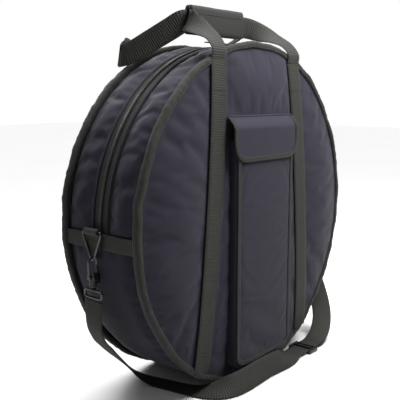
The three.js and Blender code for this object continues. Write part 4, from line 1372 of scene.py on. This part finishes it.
def ring_tab(side, sign):
    """A short webbing loop: a tail on the band and a roll around the ring's bar."""
    low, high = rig.box(f"ring_tab_{side}")
    y = (low[1] + high[1]) / 2
    width = high[1] - low[1]
    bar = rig.box(f"wire_ring_{side}")[1][2] - 2 * MM
    plane = 302 * MM
    roll = 4.1 * MM
    route = [((sign * (GUSSET + 4.6 * MM), y, low[2] + k * 4 * MM), (0, 1, 0)) for k in range(7)]
    for k in range(11):
        turn = math.pi - 1.55 * math.pi * k / 10
        route.append(((sign * (plane + roll * math.cos(turn)), y, bar + roll * math.sin(turn)), (0, 1, 0)))
    for k in range(1, 7):
        route.append(((sign * (GUSSET + 7.2 * MM), y, bar - 5 * MM - k * 4 * MM), (0, 1, 0)))
    piece, _ = webbing(f"tab_webbing_{side}", route, width=width)
    attach(piece, "bag", "webbing", f"ring_tab_{side}")


def wire_ring(side):
    """A triangle of round wire, hanging from its level bar."""
    low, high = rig.box(f"wire_ring_{side}")
    wire = 2 * MM
    x = (low[0] + high[0]) / 2
    y = (low[1] + high[1]) / 2
    half = (high[1] - low[1]) / 2 - wire
    bar, tip = high[2] - wire, low[2] + wire
    corner = 4 * MM
    points = [Vector((x, y - half + corner, bar)), Vector((x, y + half - corner, bar))]
    for k in range(1, 8):
        turn = math.pi / 2 - math.radians(115) * k / 7
        points.append(Vector((x, y + half - corner + corner * math.cos(turn),
                              bar - corner + corner * math.sin(turn))))
    for k in range(9):
        turn = math.radians(-25) - math.radians(130) * k / 8
        points.append(Vector((x, y + corner * math.cos(turn), tip + corner + corner * math.sin(turn))))
    for k in range(7):
        turn = math.radians(205) - math.radians(115) * k / 7
        points.append(Vector((x, y - half + corner + corner * math.cos(turn),
                              bar - corner + corner * math.sin(turn))))
    ring = tube(f"ring_wire_{side}", dense(points + points[:1], 2 * MM)[:-1], wire, METAL, 14, True,
                Vector((1, 0, 0)))
    attach(ring, f"ring_{side}", "dark_metal", f"wire_ring_{side}")


def turned_piece(name, x, y, profile, material, sides=28):
    """A lathe-turned upright part. The profile is (radius, height) from the bottom up."""
    rows = len(profile)
    piece = grid(name, rows, sides,
                 lambda i, j: Vector((x + profile[i][0] * math.cos(2 * math.pi * j / sides),
                                      y + profile[i][0] * math.sin(2 * math.pi * j / sides),
                                      profile[i][1])),
                 lambda i, j: (j * MM, profile[i][1]), material, closed=True)
    return piece


def snap_hook(side, sign):
    """A wire hoop on a ridged barrel, with a shoulder where the wire goes in."""
    node_low, node_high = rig.box(f"snap_hook_{side}")
    y = (node_low[1] + node_high[1]) / 2
    x = sign * 302 * MM
    low, high = node_low[2], node_low[2] + 21 * MM
    profile = [(0.2 * MM, low - 1 * MM), (3.4 * MM, low - 1 * MM), (3.6 * MM, low + 0.4 * MM)]
    ridges = 5
    for k in range(ridges):
        at = low + 1 * MM + k * 3.2 * MM
        profile += [(4.9 * MM, at), (6.0 * MM, at + 0.5 * MM), (6.0 * MM, at + 1.9 * MM),
                    (4.9 * MM, at + 2.4 * MM)]
    profile += [(5.2 * MM, high - 2.5 * MM), (4.4 * MM, high), (0.2 * MM, high)]
    barrel = turned_piece(f"hook_body_{side}", x, y, profile, METAL)
    reach, wire = 8 * MM, 1.9 * MM
    hoop_z = 246.6 * MM
    line = [Vector((x + sign * 4 * MM, y, high - 7 * MM)), Vector((x + sign * 7.4 * MM, y, high - 2 * MM))]
    line.append(Vector((x + sign * reach, y, high + 4 * MM)))
    for k in range(17):
        turn = math.pi * k / 16
        line.append(Vector((x + sign * reach * math.cos(turn), y, hoop_z + reach * math.sin(turn))))
    line.append(Vector((x - sign * reach, y, 241 * MM)))
    hoop = tube(f"hook_wire_{side}", dense(line, 1.5 * MM), wire, METAL, 14, False, Vector((0, 1, 0)))
    shoulder = bevelled_box(f"hook_shoulder_{side}",
                            (min(x + sign * 2 * MM, x + sign * 9.6 * MM), y - 2.9 * MM, high - 8 * MM),
                            (max(x + sign * 2 * MM, x + sign * 9.6 * MM), y + 2.9 * MM, high - 1 * MM),
                            1.4 * MM, METAL)
    cheeks = [bevelled_box(f"hook_cheek_{side}",
                           (min(x - sign * 11.2 * MM, x - sign * 3 * MM), y + face - 0.6 * MM, low + 5 * MM),
                           (max(x - sign * 11.2 * MM, x - sign * 3 * MM), y + face + 0.6 * MM, high),
                           0.4 * MM, METAL) for face in (-2.8 * MM, 2.8 * MM)]
    attach(join(f"hook_body_{side}", [barrel, hoop, shoulder, *cheeks]), f"hook_{side}", "dark_metal",
           f"snap_hook_{side}")

    bolt_x = x - sign * reach
    profile = [(0.1 * MM, 221 * MM), (1.5 * MM, 221 * MM), (1.6 * MM, 222 * MM), (1.6 * MM, 240 * MM),
               (1.2 * MM, 240.6 * MM), (0.1 * MM, 240.7 * MM)]
    pin = turned_piece(f"bolt_pin_{side}", bolt_x, y, profile, METAL, 18)
    stud_x = bolt_x - sign * 3.6 * MM
    stud = bevelled_box(f"bolt_stud_{side}", (stud_x - 2.2 * MM, y - 1.5 * MM, 221.6 * MM),
                        (stud_x + 2.2 * MM, y + 1.5 * MM, 225.4 * MM), 1.0 * MM, METAL)
    attach(join(f"bolt_pin_{side}", [pin, stud]), f"bolt_{side}", "dark_metal", f"hook_bolt_{side}")


def swivel_eye(side):
    """The flat loop that the strap is sewn around, with the post that the hook turns on."""
    low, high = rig.box(f"swivel_eye_{side}")
    x = (low[0] + high[0]) / 2
    y = (low[1] + high[1]) / 2
    wire = 2.0 * MM
    half, bottom, top = (high[1] - low[1]) / 2 - wire, low[2] + wire, high[2] - wire
    corner = 4.5 * MM
    points = []
    for cy, cz, first in ((half - corner, top - corner, 0), (-half + corner, top - corner, 90),
                          (-half + corner, bottom + corner, 180), (half - corner, bottom + corner, 270)):
        for k in range(7):
            turn = math.radians(first + 15 * k)
            points.append(Vector((x, y + cy + corner * math.cos(turn), cz + corner * math.sin(turn))))
    loop = tube(f"eye_loop_{side}", dense(points + points[:1], 2.5 * MM)[:-1], wire, METAL, 14, True,
                Vector((1, 0, 0)))
    post = turned_piece(f"eye_post_{side}", x, y, [(0.1 * MM, top - 1 * MM), (4.4 * MM, top - 1 * MM),
                        (4.8 * MM, top + 0.6 * MM), (3.4 * MM, top + 2.0 * MM), (3.0 * MM, top + 3.4 * MM),
                        (0.1 * MM, top + 3.5 * MM)], METAL)
    attach(join(f"eye_loop_{side}", [loop, post]), f"ring_{side}", "dark_metal", f"swivel_eye_{side}")


# ---------------------------------------------------------------- shoulder strap
LEFT_RUN = [
    ((-0.302, 0.008, 0.185), (0, 1, 0)),
    ((-0.301, 0.010, 0.160), (0, 1, 0)),
    ((-0.296, 0.014, 0.136), (0.1, 1, 0)),
    ((-0.283, 0.019, 0.115), (0.2, 1, -0.1)),
    ((-0.262, 0.025, 0.093), (0.2, 1, -0.1)),
    ((-0.236, 0.031, 0.068), (0.3, 1, -0.1)),
    ((-0.208, 0.035, 0.042), (0.4, 1, 0)),
    ((-0.184, 0.033, 0.018), (0.6, 1, 0)),
    ((-0.166, 0.022, 0.005), (0.9, 0.8, 0)),
    ((-0.156, 0.002, 0.0014), (1, 0.4, 0)),
    ((-0.151, -0.024, 0.0014), (1, 0.1, 0)),
    ((-0.147, -0.052, 0.0026), (1, 0.05, 0.05)),
    ((-0.141, -0.080, 0.0064), (1, 0.2, 0.25)),
    ((-0.128, -0.104, 0.0114), (0.7, 0.5, 0.5)),
    ((-0.106, -0.119, 0.0164), (0.3, 0.5, 0.75)),
    ((-0.076, -0.122, 0.0174), (0.05, 0.55, 0.8)),
    ((-0.040, -0.120, 0.0174), (0, 0.55, 0.8)),
    ((0.000, -0.119, 0.0174), (0, 0.55, 0.8)),
    ((0.038, -0.120, 0.0164), (0, 0.62, 0.78)),
    ((0.070, -0.113, 0.0096), (0, 0.9, 0.4)),
    ((0.094, -0.105, 0.0060), (0, 1, 0.05)),
    ((0.108, -0.104, 0.0046), (0, 1, 0)),
    ((0.122, -0.104, 0.0046), (0, 1, 0)),
    ((0.1398, -0.104, 0.0046), (0, 1, 0)),
]
RIGHT_RUN = [
    ((0.1402, -0.104, 0.0046), (0, 1, 0)),
    ((0.158, -0.104, 0.0046), (0, 1, 0)),
    ((0.173, -0.104, 0.0052), (0, 1, 0)),
    ((0.192, -0.103, 0.0090), (-0.05, 1, 0.1)),
    ((0.214, -0.099, 0.0200), (-0.2, 1, 0.15)),
    ((0.236, -0.090, 0.0370), (-0.35, 1, 0.2)),
    ((0.255, -0.076, 0.0580), (-0.4, 1, 0.2)),
    ((0.271, -0.057, 0.0840), (-0.4, 1, 0.25)),
    ((0.284, -0.036, 0.1120), (-0.3, 1, 0.3)),
    ((0.294, -0.015, 0.1400), (-0.15, 1, 0.2)),
    ((0.300, 0.001, 0.1600), (0, 1, 0.05)),
    ((0.302, 0.0065, 0.1730), (0, 1, 0)),
    ((0.302, 0.008, 0.1850), (0, 1, 0)),
]


def length_of(path):
    return sum((b - a).length for a, b in zip(path, path[1:]))


def adjuster():
    """A moulded slide: two rails and three bars that the webbing passes over and under."""
    low, high = ADJUSTER_LOW, ADJUSTER_HIGH
    rail = 5.4 * MM
    rails = [bevelled_box("adjuster_rail", (low.x, y, low.z), (high.x, y + rail, high.z),
                          2.2 * MM, PLASTIC, 5)
             for y in (low.y, high.y - rail)]
    bar = 4.4 * MM
    under = low.z + 2.9 * MM
    spans = ((low.x + 0.3 * MM, low.z, under), (high.x - bar - 0.3 * MM, low.z, under),
             (ADJUSTER.x - bar / 2, 5.9 * MM, high.z))
    bars = [bevelled_box("adjuster_bar", (x, low.y + 3 * MM, z0), (x + bar, high.y - 3 * MM, z1),
                         1.0 * MM, PLASTIC, 4) for x, z0, z1 in spans]
    piece = join("strap_slide", [*rails, *bars])
    attach(piece, "adjuster", "black_plastic", "slide_adjuster")
    return piece


def shoulder_strap(slide):
    left, left_path = webbing("strap_webbing_left", LEFT_RUN)
    right, right_path = webbing("strap_webbing_right", RIGHT_RUN)
    back, back_path = webbing("strap_webbing_return", RIGHT_RUN, 2.9 * MM, 0.05)
    at_hook = {}
    for side, sign in (("left", -1), ("right", 1)):
        at_hook[side] = dict(a="bag", b=f"ring_{side}", start=(sign * 0.290, 0.0, 0.090),
                             end=(sign * 0.302, 0.008, 0.182))
    for piece, path, side, node in (
            (left, left_path, "left", "strap_left_run"),
            (right, right_path[::-1], "right", "strap_right_run"),
            (back, back_path[::-1], "right", "strap_return_run")):
        attach(piece, at_hook[side], "webbing", node)
        exit_point = (path[0].x, path[0].y, path[0].z)
        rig.cord(piece, exit=exit_point, length=length_of(path), diameter=WEBBING, far_end="fitting",
                stiffness="medium", lay="loose", path=[tuple(p) for p in path], with_pieces=[slide])


# ---------------------------------------------------------------- studio
def studio():
    floor = new_piece("floor", [(-9, -9, 0), (9, -9, 0), (9, 9, 0), (-9, 9, 0)], [(0, 1, 2, 3)],
                      [[(0, 0)] * 4], floor_finish())
    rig.stage(floor)
    floor.visible_diffuse = False              # the floor throws no light up at the bag
    bpy.context.scene.view_settings.view_transform = "Standard"
    white_surround()
    add_lamp("sun_above", "SUN", (0.4, 0.6, 3.0), 3.0, (0, 0, 0), angle=math.radians(50))
    add_lamp("key", "AREA", (0.25, -0.55, 1.2), 15, (0.0, -0.09, 0.5), size=0.5)
    add_lamp("behind", "AREA", (0.3, 1.2, 1.3), 14, (0.0, 0.09, 0.4), size=0.8)
    add_lamp("side", "AREA", (-1.6, -0.1, 1.7), 3, (-0.25, 0, 0.55), size=1.0)


def add_lamp(name, kind, at, power, aim, **settings):
    data = bpy.data.lights.new(name, kind)
    data.energy = power
    for key, value in settings.items():
        setattr(data, key, value)
    lamp = bpy.data.objects.new(name, data)
    lamp.location = at
    lamp.rotation_euler = (Vector(aim) - lamp.location).to_track_quat("-Z", "Y").to_euler()
    bpy.context.scene.collection.objects.link(lamp)


def white_surround():
    """A white sweep all round, which gives only a little fill light."""
    seen_white, fill_light = 1.0, 0.09
    world = bpy.data.worlds.new("studio")
    world.use_nodes = True
    tree = world.node_tree
    seen = tree.nodes.new("ShaderNodeLightPath").outputs["Is Camera Ray"]
    strength = tree.nodes.new("ShaderNodeMapRange")
    strength.inputs["To Min"].default_value = fill_light
    strength.inputs["To Max"].default_value = seen_white
    tree.links.new(seen, strength.inputs["Value"])
    tree.links.new(strength.outputs["Result"], tree.nodes["Background"].inputs["Strength"])
    tree.nodes["Background"].inputs["Color"].default_value = (1, 1, 1, 1)
    bpy.context.scene.world = world


def floor_finish():
    s = Surface("pale_floor", Specular_IOR_Level=0.1)
    mottle = s.grain(2, 2)
    tone = s.mix(mottle, [0.93, 0.93, 0.93, 1], [0.97, 0.97, 0.97, 1])
    return s.finish(tone, s.spread(mottle, 0.85, 0.95), s.bump(mottle, 0.2 * MM, 0.1))


make_camera()
shoulder_strap(adjuster())
panels()
rims()
side_wall()
zipper()
strips()
handles()
grip_wrap("front", -1)
grip_wrap("back", 1)
stick_pocket()
pocket_flap()
for side, sign in (("left", -1), ("right", 1)):
    cross_band(side, sign)
    ring_tab(side, sign)
    wire_ring(side)
    snap_hook(side, sign)
    swivel_eye(side)
studio()

sizes = {"cad": [list(map(float, p)) for p in cad_bounds],
         "visual": [list(map(float, p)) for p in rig.bounds()]}
with open("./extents.json", "w") as report:
    json.dump(sizes, report)
